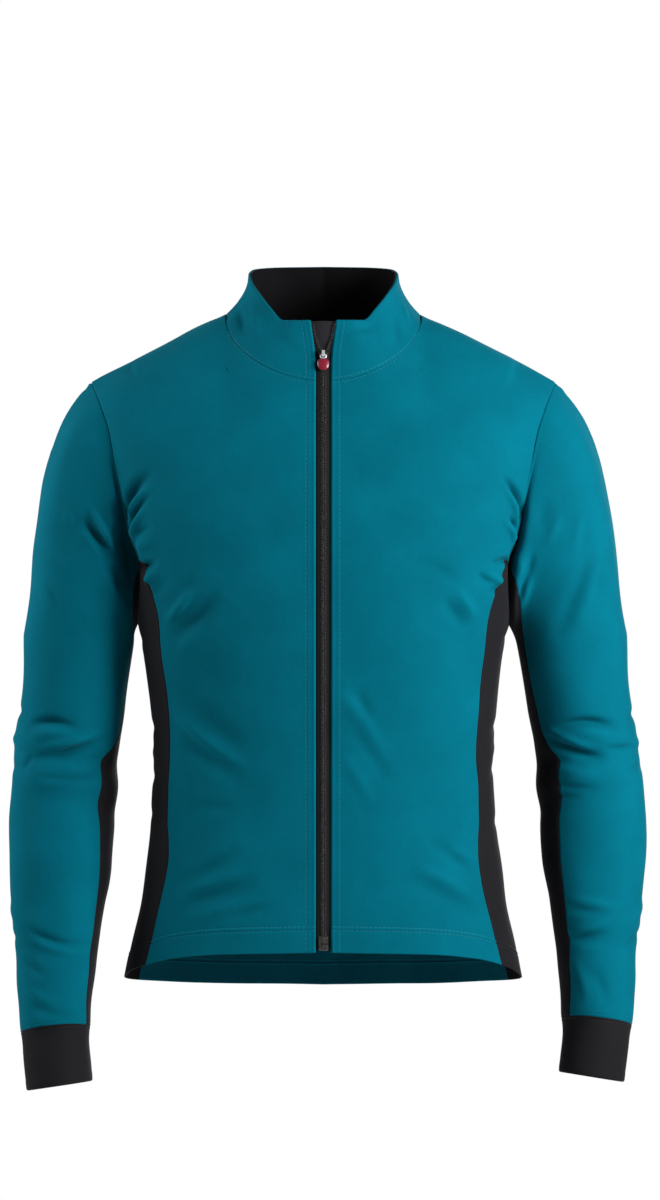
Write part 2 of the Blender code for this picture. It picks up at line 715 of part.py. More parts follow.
def wall(c):
    """Builds a piece as a closed wall: an outer face, an inner face, and the cut edges between them."""
    g = drawn_in(c)
    m, n = g.shape[:2]
    bm = bmesh.new()
    outer = [[bm.verts.new(g[i, j] + c.n[i, j] * c.thick / 2) for j in range(n)] for i in range(m)]
    inner = [[bm.verts.new(g[i, j] - c.n[i, j] * c.thick / 2) for j in range(n)] for i in range(m)]
    across = n if c.closed else n - 1
    for i in range(m - 1):
        for j in range(across):
            k = (j + 1) % n
            bm.faces.new((outer[i][j], outer[i][k], outer[i + 1][k], outer[i + 1][j]))
            bm.faces.new((inner[i][j], inner[i + 1][j], inner[i + 1][k], inner[i][k]))
    for j in range(across):
        k = (j + 1) % n
        bm.faces.new((outer[0][j], inner[0][j], inner[0][k], outer[0][k]))
        bm.faces.new((outer[-1][j], outer[-1][k], inner[-1][k], inner[-1][j]))
    if not c.closed:
        for i in range(m - 1):
            bm.faces.new((outer[i][0], outer[i + 1][0], inner[i + 1][0], inner[i][0]))
            bm.faces.new((outer[i][-1], inner[i][-1], inner[i + 1][-1], outer[i + 1][-1]))
    bmesh.ops.triangulate(bm, faces=bm.faces[:], quad_method="FIXED")
    bmesh.ops.recalc_face_normals(bm, faces=bm.faces[:])
    if bm.calc_volume(signed=True) < 0:
        bmesh.ops.reverse_faces(bm, faces=bm.faces[:])
    return add(c.name, bm, c.material)


def add(name, bm, material, smooth_by=40):
    mesh = bpy.data.meshes.new(name)
    bm.to_mesh(mesh)
    bm.free()
    mesh.materials.append(MATERIALS[material])
    mesh.shade_smooth()
    mesh.set_sharp_from_angle(angle=math.radians(smooth_by))
    obj = bpy.data.objects.new(name, mesh)
    bpy.context.scene.collection.objects.link(obj)
    return obj


def material(name, colour, roughness, metallic=0.0):
    mat = bpy.data.materials.new(name)
    mat.use_nodes = True
    shader = mat.node_tree.nodes["Principled BSDF"]
    shader.inputs["Base Color"].default_value = (*colour, 1.0)
    shader.inputs["Roughness"].default_value = roughness
    shader.inputs["Metallic"].default_value = metallic
    mat.diffuse_color = (*colour, 1.0)
    return mat


def flip(grid):
    """The same piece on the wearer's right."""
    return grid * np.array([-1.0, 1.0, 1.0])


def clear_scene():
    for obj in list(bpy.data.objects):
        bpy.data.objects.remove(obj, do_unlink=True)


clear_scene()
MATERIALS = {
    "teal_cloth": material("teal_cloth", (0.0, 0.14, 0.20), 0.9),
    "black_cloth": material("black_cloth", (0.012, 0.012, 0.014), 0.9),
    "black_tape": material("black_tape", (0.015, 0.015, 0.016), 0.7),
    "black_coil": material("black_coil", (0.03, 0.03, 0.03), 0.45),
    "black_lacquer": material("black_lacquer", (0.02, 0.02, 0.02), 0.3, 0.6),
    "steel": material("steel", (0.75, 0.75, 0.76), 0.25, 1.0),
    "red_rubber": material("red_rubber", (0.45, 0.02, 0.05), 0.45),
}


def away_from_body(p):
    return np.array([p[0], p[1], 0.0])


def away_from_arm(side):
    def way(p):
        z = float(np.clip(p[2], CUFF_END_Z, SLEEVE_TOP_Z))
        mid = arm_axis(z, side) * np.array([side, 1, 1])
        return p - mid

    return way


front = half_body(-1, NECK_F, SHOULDER, LOW, HIGH)
back_half = half_body(1, NECK_B, SHOULDER, LOW, HIGH)
back = np.concatenate([flip(back_half)[:, ::-1], back_half[:, 1:]], axis=1)
side = side_panel(SIDE, LOW)
collar_half = collar_grid(NECK_F, NECK_B, COLLAR_ROWS)
collar = np.concatenate([flip(collar_half), collar_half[:, ::-1][:, 1:]], axis=1)

Cloth("front_left", front, CLOTH, "teal_cloth", away_from_body, inset=(0, 1, 0, 1))
Cloth("front_right", flip(front), CLOTH, "teal_cloth", away_from_body, inset=(0, 1, 0, 1))
Cloth("back", back, CLOTH, "teal_cloth", away_from_body, inset=(0, 1, 1, 1))
Cloth("side_left", side, CLOTH, "black_cloth", away_from_body, inset=(0, 1, 1, 1))
Cloth("side_right", flip(side), CLOTH, "black_cloth", away_from_body, inset=(0, 1, 1, 1))
for name, s in (("left", 1), ("right", -1)):
    upper, under = sleeve_grid(s, HIGH, SIDE, CAP, ARM)
    cuff = cuff_grid(s, HIGH, SIDE, CUFF_ROWS)
    if s < 0:
        upper, under, cuff = flip(upper), flip(under), flip(cuff)
    Cloth("sleeve_" + name, upper, CLOTH, "teal_cloth", away_from_arm(s))
    Cloth("undersleeve_" + name, under, CLOTH, "black_cloth", away_from_arm(s))
    Cloth("cuff_" + name, cuff, CUFF_CLOTH, "black_cloth", away_from_arm(s), closed=True, inset=(1, 0, 0, 0))
Cloth("collar", collar, CLOTH, "teal_cloth", away_from_body, inset=(1, 0, 0, 0))

share_seam_normals()

# The collar's facing lies just inside it, clear of the tapes in front.
skin = Cloth.all["collar"]
keep = slice(1, -1)
inside = CLOTH / 2 + 1.5 * CLEAR + FACING_CLOTH / 2
Cloth(
    "collar_facing",
    skin.grid[:, keep] - skin.n[:, keep] * inside,
    FACING_CLOTH,
    "black_cloth",
    n=skin.n[:, keep],
    inset=(12, 9, 0, 0),
)

tape_in = CLOTH / 2 + CLEAR + TAPE / 2
flap_in = tape_in + TAPE / 2 + CLEAR + FLAP_CLOTH / 2
chain_in = tape_in - TAPE / 2 - CLEAR - CHAIN_THICK / 2
stop_in = tape_in - TAPE / 2 - CLEAR - STOP_THICK / 2
left_line = zip_line("left")
whole = cut(left_line, HEM["z"][0] + 0.0010, COLLAR_TOP["z"][0] - 0.0008)
low, high = HEM["z"][0] + 0.0012, COLLAR_TOP["z"][0] - 0.0030
for name, turn in (("left", 1), ("right", -1)):
    tape, tape_n = strip(whole, (TAPE_GAP - ZIP_HALF, 0.0, TAPE_HALF - ZIP_HALF), tape_in)
    chain, chain_n = strip(cut(left_line, low + STOP_TALL + CLEAR, high), (CHAIN_GAP - ZIP_HALF, CHAIN_HALF - ZIP_HALF), chain_in)
    sign = np.array([turn, 1.0, 1.0])
    Cloth("zip_tape_" + name, tape * sign, TAPE, "black_tape", n=tape_n * sign, inset=(0, 0, 0, 0))
    Cloth("zip_chain_" + name, chain * sign, CHAIN_THICK, "black_coil", n=chain_n * sign, inset=(0, 0, 0, 0))

half_flap, half_n = strip(whole, (0.0, FLAP_HALF - ZIP_HALF), flap_in)
middle, middle_n = half_flap[:, :1] * np.array([0.0, 1, 1]), half_n[:, :1] * np.array([0.0, 1, 1])
flap = np.concatenate([flip(half_flap)[:, ::-1], middle, half_flap], axis=1)
flap_n = np.concatenate([flip(half_n)[:, ::-1], middle_n, half_n], axis=1)
Cloth("wind_flap", flap, FLAP_CLOTH, "black_cloth", n=flap_n, inset=(0, 0, 0, 0))

half_stop, stop_n = strip(cut(left_line, low, low + STOP_TALL), (-ZIP_HALF, STOP_HALF - ZIP_HALF), stop_in)
stop = np.concatenate([flip(half_stop)[:, :0:-1], half_stop], axis=1)
stop_n = np.concatenate([flip(stop_n)[:, :0:-1], stop_n], axis=1)
Cloth("zip_stop", stop, STOP_THICK, "black_coil", n=stop_n, inset=(0, 0, 0, 0))

# The slider, in its own directions: across, up the zip, and out from the cloth's middle.
place = cut(left_line, SLIDER_Z - 0.0040, SLIDER_Z + 0.0040)
FRAME_AT = 0.5 * (place["edge"][0] + place["edge"][-1]) * np.array([0, 1, 1])
UP = (place["edge"][-1] - place["edge"][0]) * np.array([0, 1, 1])
UP = UP / np.linalg.norm(UP)
OUT = np.array([0.0, -UP[2], UP[1]])


def at_slider(across, up, out):
    return FRAME_AT + np.array([across, 0, 0]) + UP * up + OUT * out


pull_rows = zip(PULL["up"], PULL["half"])
pull_grid = np.array([[at_slider(h * k, u, LINK_OUT) for k in np.linspace(-1, 1, 5)] for u, h in pull_rows])
Cloth("zip_pull", pull_grid, PULL_THICK, "red_rubber", n=np.broadcast_to(OUT, pull_grid.shape), inset=(0, 0, 0, 0))

built = {piece.name: wall(piece) for piece in Cloth.all.values()}


def prism(name, outline, place_of, near, far, mat):
    """An outline carried straight from one place to another."""
    bm = bmesh.new()
    ends = [[bm.verts.new(place_of(a, b, d)) for a, b in outline] for d in (near, far)]
    n = len(outline)
    bm.faces.new(ends[0])
    bm.faces.new(ends[1][::-1])
    for k in range(n):
        bm.faces.new((ends[0][k], ends[1][k], ends[1][(k + 1) % n], ends[0][(k + 1) % n]))
    bmesh.ops.triangulate(bm, faces=bm.faces[:])
    bmesh.ops.recalc_face_normals(bm, faces=bm.faces[:])
    if bm.calc_volume(signed=True) < 0:
        bmesh.ops.reverse_faces(bm, faces=bm.faces[:])
    return add(name, bm, mat, 30)


PLATE_OUT = CHAIN_THICK / 2 - chain_in + CLEAR
half_plate = list(zip(PLATE["half"], PLATE["up"]))
prism(
    "zip_slider",
    half_plate + [(-h, u) for h, u in half_plate[::-1]],
    at_slider,
    PLATE_OUT,
    PLATE_OUT + PLATE_THICK,
    "black_lacquer",
)
prism(
    "zip_bridge",
    list(zip(BRIDGE["up"], BRIDGE["out"])),
    lambda up, out, across: at_slider(across, up, out + PLATE_OUT + PLATE_THICK + CLEAR),
    -BRIDGE_HALF,
    BRIDGE_HALF,
    "steel",
)


def link():
    """The wire loop that joins the pull to the bridge: a rounded rectangle with a round section."""
    n, m = 20, 8
    bm = bmesh.new()
    rings = []
    for k in range(n):
        a = 2 * math.pi * k / n
        c, d = math.cos(a), math.sin(a)
        x = LINK_HALF * math.copysign(abs(c) ** 0.5, c)
        u = LINK_UP + LINK_TALL / 2 * (math.copysign(abs(d) ** 0.5, d) - 1)
        away = Vector((c, d)).normalized()
        ring_of = []
        for j in range(m):
            b = 2 * math.pi * j / m
            w = WIRE * math.cos(b)
            p = at_slider(x + away[0] * w, u + away[1] * w, LINK_OUT + WIRE * math.sin(b))
            ring_of.append(bm.verts.new(p))
        rings.append(ring_of)
    for k in range(n):
        for j in range(m):
            a, b = rings[k], rings[(k + 1) % n]
            bm.faces.new((a[j], b[j], b[(j + 1) % m], a[(j + 1) % m]))
    bmesh.ops.recalc_face_normals(bm, faces=bm.faces[:])
    if bm.calc_volume(signed=True) < 0:
        bmesh.ops.reverse_faces(bm, faces=bm.faces[:])
    return add("pull_link", bm, "steel", 60)


link()

# The pull and its link swing about the link's upper bar, under the bridge.
hinge = bpy.data.objects.new("pull_hinge", None)
hinge.empty_display_size = 0.004
hinge.location = at_slider(0.0, LINK_UP, LINK_OUT)
bpy.context.scene.collection.objects.link(hinge)
for name in ("zip_pull", "pull_link"):
    child = bpy.data.objects[name]
    child.data.transform(Matrix.Translation(-Vector(hinge.location)))
    child.parent = hinge
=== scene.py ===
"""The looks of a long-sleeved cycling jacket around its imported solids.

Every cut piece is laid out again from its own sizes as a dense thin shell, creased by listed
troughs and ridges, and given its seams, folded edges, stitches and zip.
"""

import math

import bmesh
import bpy
import numpy as np
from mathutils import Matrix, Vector


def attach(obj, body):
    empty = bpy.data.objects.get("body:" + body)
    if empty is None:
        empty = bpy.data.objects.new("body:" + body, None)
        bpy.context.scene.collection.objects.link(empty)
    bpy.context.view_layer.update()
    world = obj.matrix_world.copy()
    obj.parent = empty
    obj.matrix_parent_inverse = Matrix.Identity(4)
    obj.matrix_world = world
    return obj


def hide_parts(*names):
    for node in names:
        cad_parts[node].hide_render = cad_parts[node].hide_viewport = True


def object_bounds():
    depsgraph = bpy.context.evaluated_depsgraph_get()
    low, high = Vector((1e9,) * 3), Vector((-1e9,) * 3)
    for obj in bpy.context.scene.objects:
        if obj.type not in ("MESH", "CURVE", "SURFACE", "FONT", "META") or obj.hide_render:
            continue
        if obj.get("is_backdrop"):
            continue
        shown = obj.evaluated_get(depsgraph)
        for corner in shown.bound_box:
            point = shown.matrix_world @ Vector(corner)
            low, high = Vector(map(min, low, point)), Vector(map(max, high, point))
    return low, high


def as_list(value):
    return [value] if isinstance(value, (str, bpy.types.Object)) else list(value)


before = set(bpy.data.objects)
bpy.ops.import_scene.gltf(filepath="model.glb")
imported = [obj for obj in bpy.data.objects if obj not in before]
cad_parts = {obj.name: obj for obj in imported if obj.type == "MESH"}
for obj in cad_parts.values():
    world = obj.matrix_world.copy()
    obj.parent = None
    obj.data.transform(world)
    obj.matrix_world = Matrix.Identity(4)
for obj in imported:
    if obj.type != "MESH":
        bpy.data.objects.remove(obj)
CAD_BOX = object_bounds()

# ---------------------------------------------------------------- camera
PHOTO_W, PHOTO_H = 660, 1200
FAR, EYE_X, EYE_Z, FRAME_TALL = 3.6, 0.006, -0.244, 1.104
camera_data = bpy.data.cameras.new("camera")
camera_data.sensor_fit = "AUTO"
camera_data.sensor_width = 36.0
camera_data.lens = 36.0 * FAR / FRAME_TALL
camera_data.clip_end = 60.0
camera = bpy.data.objects.new("camera", camera_data)
camera.location = (EYE_X, -FAR, EYE_Z)
camera.rotation_euler = (math.radians(90), 0, 0)
bpy.context.scene.collection.objects.link(camera)
bpy.context.scene.camera = camera

# ---------------------------------------------------------------- named sizes, in metres
CLOTH = 0.0014  # thickness of the brushed shell cloth
CUFF_CLOTH = 0.0020  # the cuffs are doubled
FACING_CLOTH = 0.0010
FLAP_CLOTH = 0.0010
TAPE = 0.0008  # thickness of the zip tape
SEAM = 0.00017  # each piece stops this far short of its seam line
CLEAR = 0.0003  # between layers that lie on each other
ZIP_HALF = 0.0070  # from the centre line to the edge of each front
TAPE_GAP, CHAIN_GAP = 0.0004, 0.0002  # from the centre line to the tape's inner edge and the chain's
CHAIN_HALF = 0.0027
CHAIN_THICK = 0.0016
STOP_HALF, STOP_TALL, STOP_THICK = 0.0042, 0.0125, 0.0024
PLATE_THICK = 0.0011  # the slider's front plate
BRIDGE_HALF = 0.0014
LINK_HALF, LINK_TALL, WIRE = 0.0026, 0.0033, 0.00055
LINK_UP, LINK_OUT = -0.0010, 0.0038  # the link's upper bar, up the zip and out from the cloth's middle
PULL_THICK = 0.0020
SLIDER_Z = -0.0238  # how far the zip is closed
COLLAR_OPEN = 0.0117  # half the opening between the collar's front edges, at the top
UNDERARM_Z = -0.2080  # where the fronts, sides and sleeves meet
UNDERARM_DROP = 0.0560  # how far the side panel's top edge dips under the arm
SHOULDER_X, SHOULDER_Z = 0.2134, -0.0440
NECK_X, NECK_Z = 0.0890, 0.0190

# ---------------------------------------------------------------- how many faces each way
LOW, HIGH = 200, 104  # rows below and above the underarm
NECK_F, NECK_B, SHOULDER = 58, 42, 66  # columns under the front neck, half the back neck, the shoulder
SIDE = 48  # columns across a side panel and an undersleeve
CAP, ARM, CUFF_ROWS, COLLAR_ROWS = 90, 170, 28, 44


# ---------------------------------------------------------------- tables
def table(names, rows):
    """Columns by name, from rows of numbers."""
    return dict(zip(names.split(), np.array(rows, float).T))


# Half width at the sides, the centre front's and centre back's y, and how square the front and back are.
TORSO = table(
    "z half_width front_y back_y front_square back_square",
    [
        (-0.640, 0.1930, -0.108, 0.124, 2.20, 2.20),
        (-0.589, 0.1817, -0.107, 0.119, 2.20, 2.20),
        (-0.557, 0.1743, -0.106, 0.115, 2.25, 2.20),
        (-0.520, 0.1672, -0.105, 0.106, 2.25, 2.20),
        (-0.483, 0.1622, -0.104, 0.098, 2.25, 2.20),
        (-0.440, 0.1572, -0.103, 0.093, 2.25, 2.20),
        (-0.390, 0.1552, -0.105, 0.092, 2.30, 2.20),
        (-0.336, 0.1590, -0.111, 0.098, 2.40, 2.25),
        (-0.281, 0.1670, -0.118, 0.107, 2.50, 2.30),
        (-0.230, 0.1765, -0.122, 0.114, 2.60, 2.35),
        (-0.180, 0.1910, -0.123, 0.118, 2.60, 2.40),
        (-0.130, 0.2045, -0.117, 0.118, 2.60, 2.40),
        (-0.080, 0.2170, -0.103, 0.111, 2.50, 2.40),
        (-0.045, 0.2270, -0.090, 0.101, 2.50, 2.40),
        (-0.015, 0.2330, -0.080, 0.090, 2.50, 2.40),
        (0.025, 0.2380, -0.066, 0.076, 2.50, 2.40),
    ],
)
# The top line of the shoulder, and over how far down the front and back roll away from it.
RIDGE = table(
    "x z front_roll back_roll",
    [
        (0.0000, 0.0850, 0.130, 0.130),
        (0.0300, 0.0710, 0.130, 0.130),
        (0.0600, 0.0450, 0.130, 0.130),
        (0.0800, 0.0265, 0.128, 0.128),
        (0.0890, 0.0190, 0.125, 0.125),
        (0.1075, 0.0102, 0.115, 0.118),
        (0.1240, 0.0020, 0.106, 0.110),
        (0.1390, -0.0056, 0.098, 0.102),
        (0.1688, -0.0204, 0.084, 0.090),
        (0.1955, -0.0344, 0.072, 0.078),
        (0.2134, -0.0440, 0.064, 0.070),
        (0.2400, -0.0610, 0.060, 0.064),
    ],
)
# Where the front's seam with the side panel runs, as a share of the half width, and the back's.
SIDE_SEAM = table(
    "z front_share back_share",
    [
        (-0.6100, 0.915, 0.945),
        (-0.5706, 0.902, 0.935),
        (-0.5340, 0.891, 0.928),
        (-0.4980, 0.873, 0.925),
        (-0.4790, 0.866, 0.925),
        (-0.4620, 0.876, 0.925),
        (-0.4430, 0.896, 0.925),
        (-0.4160, 0.901, 0.925),
        (-0.3890, 0.889, 0.925),
        (-0.3350, 0.882, 0.928),
        (-0.2980, 0.884, 0.930),
        (-0.2620, 0.873, 0.930),
        (-0.2300, 0.890, 0.930),
        (-0.2080, 0.905, 0.930),
    ],
)
# The hem's height, by the angle round the body: 0 at the centre front, 90 at the side, 180 at the centre back.
HEM = table(
    "angle z",
    [
        (0, -0.5582),
        (30, -0.5612),
        (50, -0.5672),
        (66, -0.5760),
        (90, -0.5905),
        (125, -0.6010),
        (155, -0.6070),
        (180, -0.6090),
    ],
)
# The front neckline, from the zip to the shoulder seam, and half of the back neckline from the centre back.
NECK_FRONT = table(
    "x z",
    [
        (0.0070, -0.0472),
        (0.0167, -0.0462),
        (0.0338, -0.0420),
        (0.0520, -0.0345),
        (0.0704, -0.0220),
        (0.0825, -0.0080),
        (0.0880, 0.0060),
        (0.0890, 0.0190),
    ],
)
NECK_BACK = table(
    "x z",
    [
        (0.0000, 0.0130),
        (0.0300, 0.0140),
        (0.0600, 0.0165),
        (0.0800, 0.0190),
        (0.0890, 0.0190),
    ],
)
# The armhole in front and behind, from the underarm corner up to the shoulder.
ARM_FRONT = table(
    "x z",
    [
        (0.1655, -0.2080),
        (0.1702, -0.1960),
        (0.1748, -0.1808),
        (0.1800, -0.1573),
        (0.1880, -0.1202),
        (0.1940, -0.0903),
        (0.2015, -0.0690),
        (0.2134, -0.0440),
    ],
)
ARM_BACK = table(
    "x z",
    [
        (0.1701, -0.2080),
        (0.1765, -0.1730),
        (0.1830, -0.1400),
        (0.1905, -0.1060),
        (0.2010, -0.0720),
        (0.2134, -0.0440),
    ],
)
# The sleeve below the armhole: the middle line of the arm, the half widths across and front to back.
SLEEVE = table(
    "z x y across deep",
    [
        (-0.2808, 0.2268, 0.004, 0.0502, 0.0560),
        (-0.3360, 0.2330, 0.007, 0.0472, 0.0535),
        (-0.3728, 0.2386, 0.008, 0.0468, 0.0520),
        (-0.4098, 0.2412, 0.006, 0.0477, 0.0500),
        (-0.4464, 0.2443, 0.001, 0.0480, 0.0490),
        (-0.4828, 0.2447, -0.006, 0.0466, 0.0465),
        (-0.5189, 0.2465, -0.014, 0.0420, 0.0430),
        (-0.5548, 0.2468, -0.023, 0.0375, 0.0395),
        (-0.5905, 0.2467, -0.031, 0.0340, 0.0365),
        (-0.6261, 0.2461, -0.040, 0.0312, 0.0340),
        (-0.6439, 0.2458, -0.044, 0.0292, 0.0322),
        (-0.6788, 0.2417, -0.052, 0.0287, 0.0320),
    ],
)
SLEEVE_TOP_Z, CUFF_TOP_Z, CUFF_END_Z = -0.2808, -0.6310, -0.6796
CAP_FLARE = 0.022  # how far the cap's outer side is held in above the sleeve's first row
CUFF_LEAN = 0.0025  # how much lower each cuff sits on its outer side
# How far each arm is held out and up from that line, wearer's left and right.
POSE = table(
    "z left_out left_up right_out right_up",
    [
        (-0.2808, 0.0018, 0.000, -0.0018, 0.000),
        (-0.3360, 0.0022, 0.000, -0.0022, 0.000),
        (-0.4464, 0.0037, 0.001, -0.0037, -0.001),
        (-0.5548, 0.0028, 0.003, -0.0028, -0.003),
        (-0.6788, 0.0016, 0.004, -0.0026, -0.004),
    ],
)
# The undersleeve's two seams, as angles round the arm: 0 outwards, 90 forwards, 180 towards the body.
UNDER_SEAM = table(
    "z left_front right_front left_back right_back",
    [
        (-0.2808, 153, 170, 207, 213),
        (-0.3540, 148, 170, 207, 213),
        (-0.3728, 140, 158, 206, 212),
        (-0.3912, 129, 139, 205, 212),
        (-0.4098, 128, 136, 204, 212),
        (-0.4464, 134, 139, 203, 211),
        (-0.4828, 135, 144, 203, 210),
        (-0.5189, 136, 150, 203, 210),
        (-0.5905, 138, 152, 204, 210),
        (-0.6275, 143, 156, 206, 210),
    ],
)
# Which way the sleeve leaves the armhole, by the angle round it, and how strongly it holds that way.
CAP_WAY = table(
    "angle out forward up pull",
    [
        (0, 0.72, 0.00, -0.69, 0.90),
        (45, 0.80, 0.22, -0.56, 0.80),
        (90, 0.80, 0.12, -0.59, 0.62),
        (135, 0.62, 0.05, -0.78, 0.60),
        (180, 0.42, 0.00, -0.91, 0.70),
        (225, 0.62, -0.05, -0.78, 0.60),
        (270, 0.82, -0.20, -0.54, 0.70),
        (315, 0.80, -0.26, -0.55, 0.85),
        (360, 0.72, 0.00, -0.69, 0.90),
    ],
)
# The collar's top edge, by the share of the way round from the zip to the centre back, and how hollow
# the collar is below it.
COLLAR_TOP = table(
    "share x y z hollow",
    [
        (0.00, 0.0117, -0.0740, 0.0077, -0.10),
        (0.10, 0.0240, -0.0725, 0.0078, -0.10),
        (0.20, 0.0360, -0.0665, 0.0082, -0.05),
        (0.29, 0.0480, -0.0565, 0.0205, 0.20),
        (0.38, 0.0585, -0.0410, 0.0345, 0.60),
        (0.48, 0.0660, -0.0200, 0.0465, 0.90),
        (0.58, 0.0685, -0.0010, 0.0555, 0.95),
        (0.70, 0.0655, 0.0210, 0.0610, 0.80),
        (0.84, 0.0430, 0.0440, 0.0650, 0.50),
        (1.00, 0.0000, 0.0540, 0.0665, 0.40),
    ],
)


# The slider's plate, its bridge seen from the side, and the pull: up the zip from the slider's middle.
PLATE = table("up half", [(-0.0042, 0.0028), (-0.0020, 0.0034), (0.0022, 0.0043), (0.0040, 0.0036)])
BRIDGE = table(
    "up out",
    [
        (-0.0031, 0.0000),
        (-0.0030, 0.0022),
        (-0.0020, 0.0031),
        (0.0020, 0.0031),
        (0.0030, 0.0022),
        (0.0031, 0.0000),
        (0.0020, 0.0000),
        (0.0019, 0.0016),
        (0.0013, 0.0021),
        (-0.0013, 0.0021),
        (-0.0019, 0.0016),
        (-0.0020, 0.0000),
    ],
)
PULL = table(
    "up half",
    [
        (-0.00520, 0.0036),
        (-0.00620, 0.0047),
        (-0.00800, 0.0053),
        (-0.01060, 0.0055),
        (-0.01310, 0.0050),
        (-0.01480, 0.0038),
        (-0.01560, 0.0024),
    ],
)


def smooth(xs, ys, x):
    """The value at x of a smooth curve through the table's points, with no overshoot."""
    x = np.clip(np.asarray(x, float), xs[0], xs[-1])
    h, d = np.diff(xs), np.diff(ys) / np.diff(xs)
    m = np.empty_like(ys)
    m[0], m[-1] = d[0], d[-1]
    for k in range(1, len(xs) - 1):
        same = d[k - 1] * d[k] > 0
        w1, w2 = 2 * h[k] + h[k - 1], h[k] + 2 * h[k - 1]
        m[k] = (w1 + w2) / (w1 / d[k - 1] + w2 / d[k]) if same else 0.0
    i = np.clip(np.searchsorted(xs, x, side="right") - 1, 0, len(xs) - 2)
    t = (x - xs[i]) / h[i]
    return (
        ys[i] * (1 + 2 * t) * (1 - t) ** 2
        + ys[i + 1] * t * t * (3 - 2 * t)
        + h[i] * (m[i] * t * (1 - t) ** 2 - m[i + 1] * t * t * (1 - t))
    )


def at(tab, key, column, value):
    """A table's column, at a value of its key column, which may run either way."""
    k, c = tab[key], tab[column]
    return smooth(k, c, value) if k[0] < k[-1] else smooth(k[::-1], c[::-1], value)


def along(points, n):
    """n + 1 points evenly spaced along a smooth curve through the given ones."""
    points = np.asarray(points, float)
    step = np.concatenate([[0], np.cumsum(np.linalg.norm(np.diff(points, axis=0), axis=1))])
    fine = np.linspace(0, step[-1], 2400)
    curve = np.stack([catmull(step, points[:, k], fine) for k in range(points.shape[1])], axis=1)
    run = np.concatenate([[0], np.cumsum(np.linalg.norm(np.diff(curve, axis=0), axis=1))])
    want = np.linspace(0, run[-1], n + 1)
    out = np.stack([np.interp(want, run, curve[:, k]) for k in range(points.shape[1])], axis=1)
    out[0], out[-1] = points[0], points[-1]
    return out


def catmull(xs, ys, x):
    """A smooth curve through points, which may overshoot a little where it bends."""
    m = np.gradient(ys, xs)
    i = np.clip(np.searchsorted(xs, x, side="right") - 1, 0, len(xs) - 2)
    h = xs[i + 1] - xs[i]
    t = (x - xs[i]) / h
    return (
        ys[i] * (1 + 2 * t) * (1 - t) ** 2
        + ys[i + 1] * t * t * (3 - 2 * t)
        + h * (m[i] * t * (1 - t) ** 2 - m[i + 1] * t * t * (1 - t))
    )


# ---------------------------------------------------------------- the body of the jacket as a surface
def body_y(x, z, face):
    """The front's (face -1) or back's (face +1) y at a place seen from the front."""
    x = np.abs(np.asarray(x, float))
    name = "front" if face < 0 else "back"
    deep = at(TORSO, "z", name + "_y", z)
    p = at(TORSO, "z", name + "_square", z)
    r = np.clip(x / at(TORSO, "z", "half_width", z), 0, 1)
    flat = deep * np.maximum(1 - r**p, 0) ** (1 / p)
    drop = np.clip((at(RIDGE, "x", "z", x) - z) / at(RIDGE, "x", name + "_roll", x), 0, 1)
    return flat * np.sqrt(1 - (1 - drop) ** 2)


def ring(angle, z):
    """A point of the body below the arms, by its angle: 0 centre front, 90 side, 180 centre back."""
    a = np.radians(np.asarray(angle, float))
    name = np.where(np.asarray(angle) <= 90, 0, 1)
    p = np.where(name == 0, at(TORSO, "z", "front_square", z), at(TORSO, "z", "back_square", z))
    deep = np.where(name == 0, at(TORSO, "z", "front_y", z), at(TORSO, "z", "back_y", z))
    x = at(TORSO, "z", "half_width", z) * np.abs(np.sin(a)) ** (2 / p)
    y = deep * np.abs(np.cos(a)) ** (2 / p)
    return np.stack([x, y, np.broadcast_to(z, x.shape)], axis=-1)


def seam_angle(z, face):
    """The angle of the front's or back's seam with the side panel."""
    name = "front" if face < 0 else "back"
    share = at(SIDE_SEAM, "z", name + "_share", z)
    p = at(TORSO, "z", name + "_square", z)
    a = np.degrees(np.arcsin(share ** (p / 2)))
    return a if face < 0 else 180 - a


def hem_point(angle):
    return ring(angle, at(HEM, "angle", "z", angle))


def hem_corner(face):
    """The angle at which a side seam meets the hem."""
    a = 60.0 if face < 0 else 120.0
    for _ in range(30):
        a = float(seam_angle(at(HEM, "angle", "z", a), face))
    return a


def patch(bottom, top, left, right, face):
    """A grid between four edges given in x and z, on the body's surface, true to its edges in y too."""
    n, m = len(bottom) - 1, len(left) - 1
    u = np.linspace(0, 1, n + 1)[None, :, None]
    v = np.linspace(0, 1, m + 1)[:, None, None]
    flat = (1 - u) * left[:, None, ::2] + u * right[:, None, ::2]
    flat = flat + v**3 * (top[None, :, ::2] - (1 - u) * top[0, ::2] - u * top[-1, ::2])
    flat = flat + (1 - v) ** 3 * (bottom[None, :, ::2] - (1 - u) * bottom[0, ::2] - u * bottom[-1, ::2])
    y = body_y(flat[..., 0], flat[..., 1], face)
    out = np.stack([flat[..., 0], y, flat[..., 1]], axis=-1)
    fix = right[:, 1] - out[:, -1, 1]
    out[..., 1] += u[..., 0] ** 4 * fix[:, None]
    out[0], out[-1], out[:, 0], out[:, -1] = bottom, top, left, right
    return out


def side_edge(face, n_low, n_high):
    """A front's or back's outer edge: up the side seam, then up the armhole to the shoulder."""
    low_a = hem_corner(face)
    z0, z1 = float(at(HEM, "angle", "z", low_a)), UNDERARM_Z
    z = np.linspace(z0, z1, 60)
    seam = ring(seam_angle(z, face), z)
    arm = armhole(face)
    seam[-1] = arm[0]
    return np.concatenate([along(seam, n_low)[:-1], along(arm, n_high)])


def armhole(face):
    tab = ARM_FRONT if face < 0 else ARM_BACK
    pts = np.stack([tab["x"], body_y(tab["x"], tab["z"], face), tab["z"]], axis=-1)
    pts[-1] = (SHOULDER_X, 0.0, SHOULDER_Z)
    return along(pts, 60)


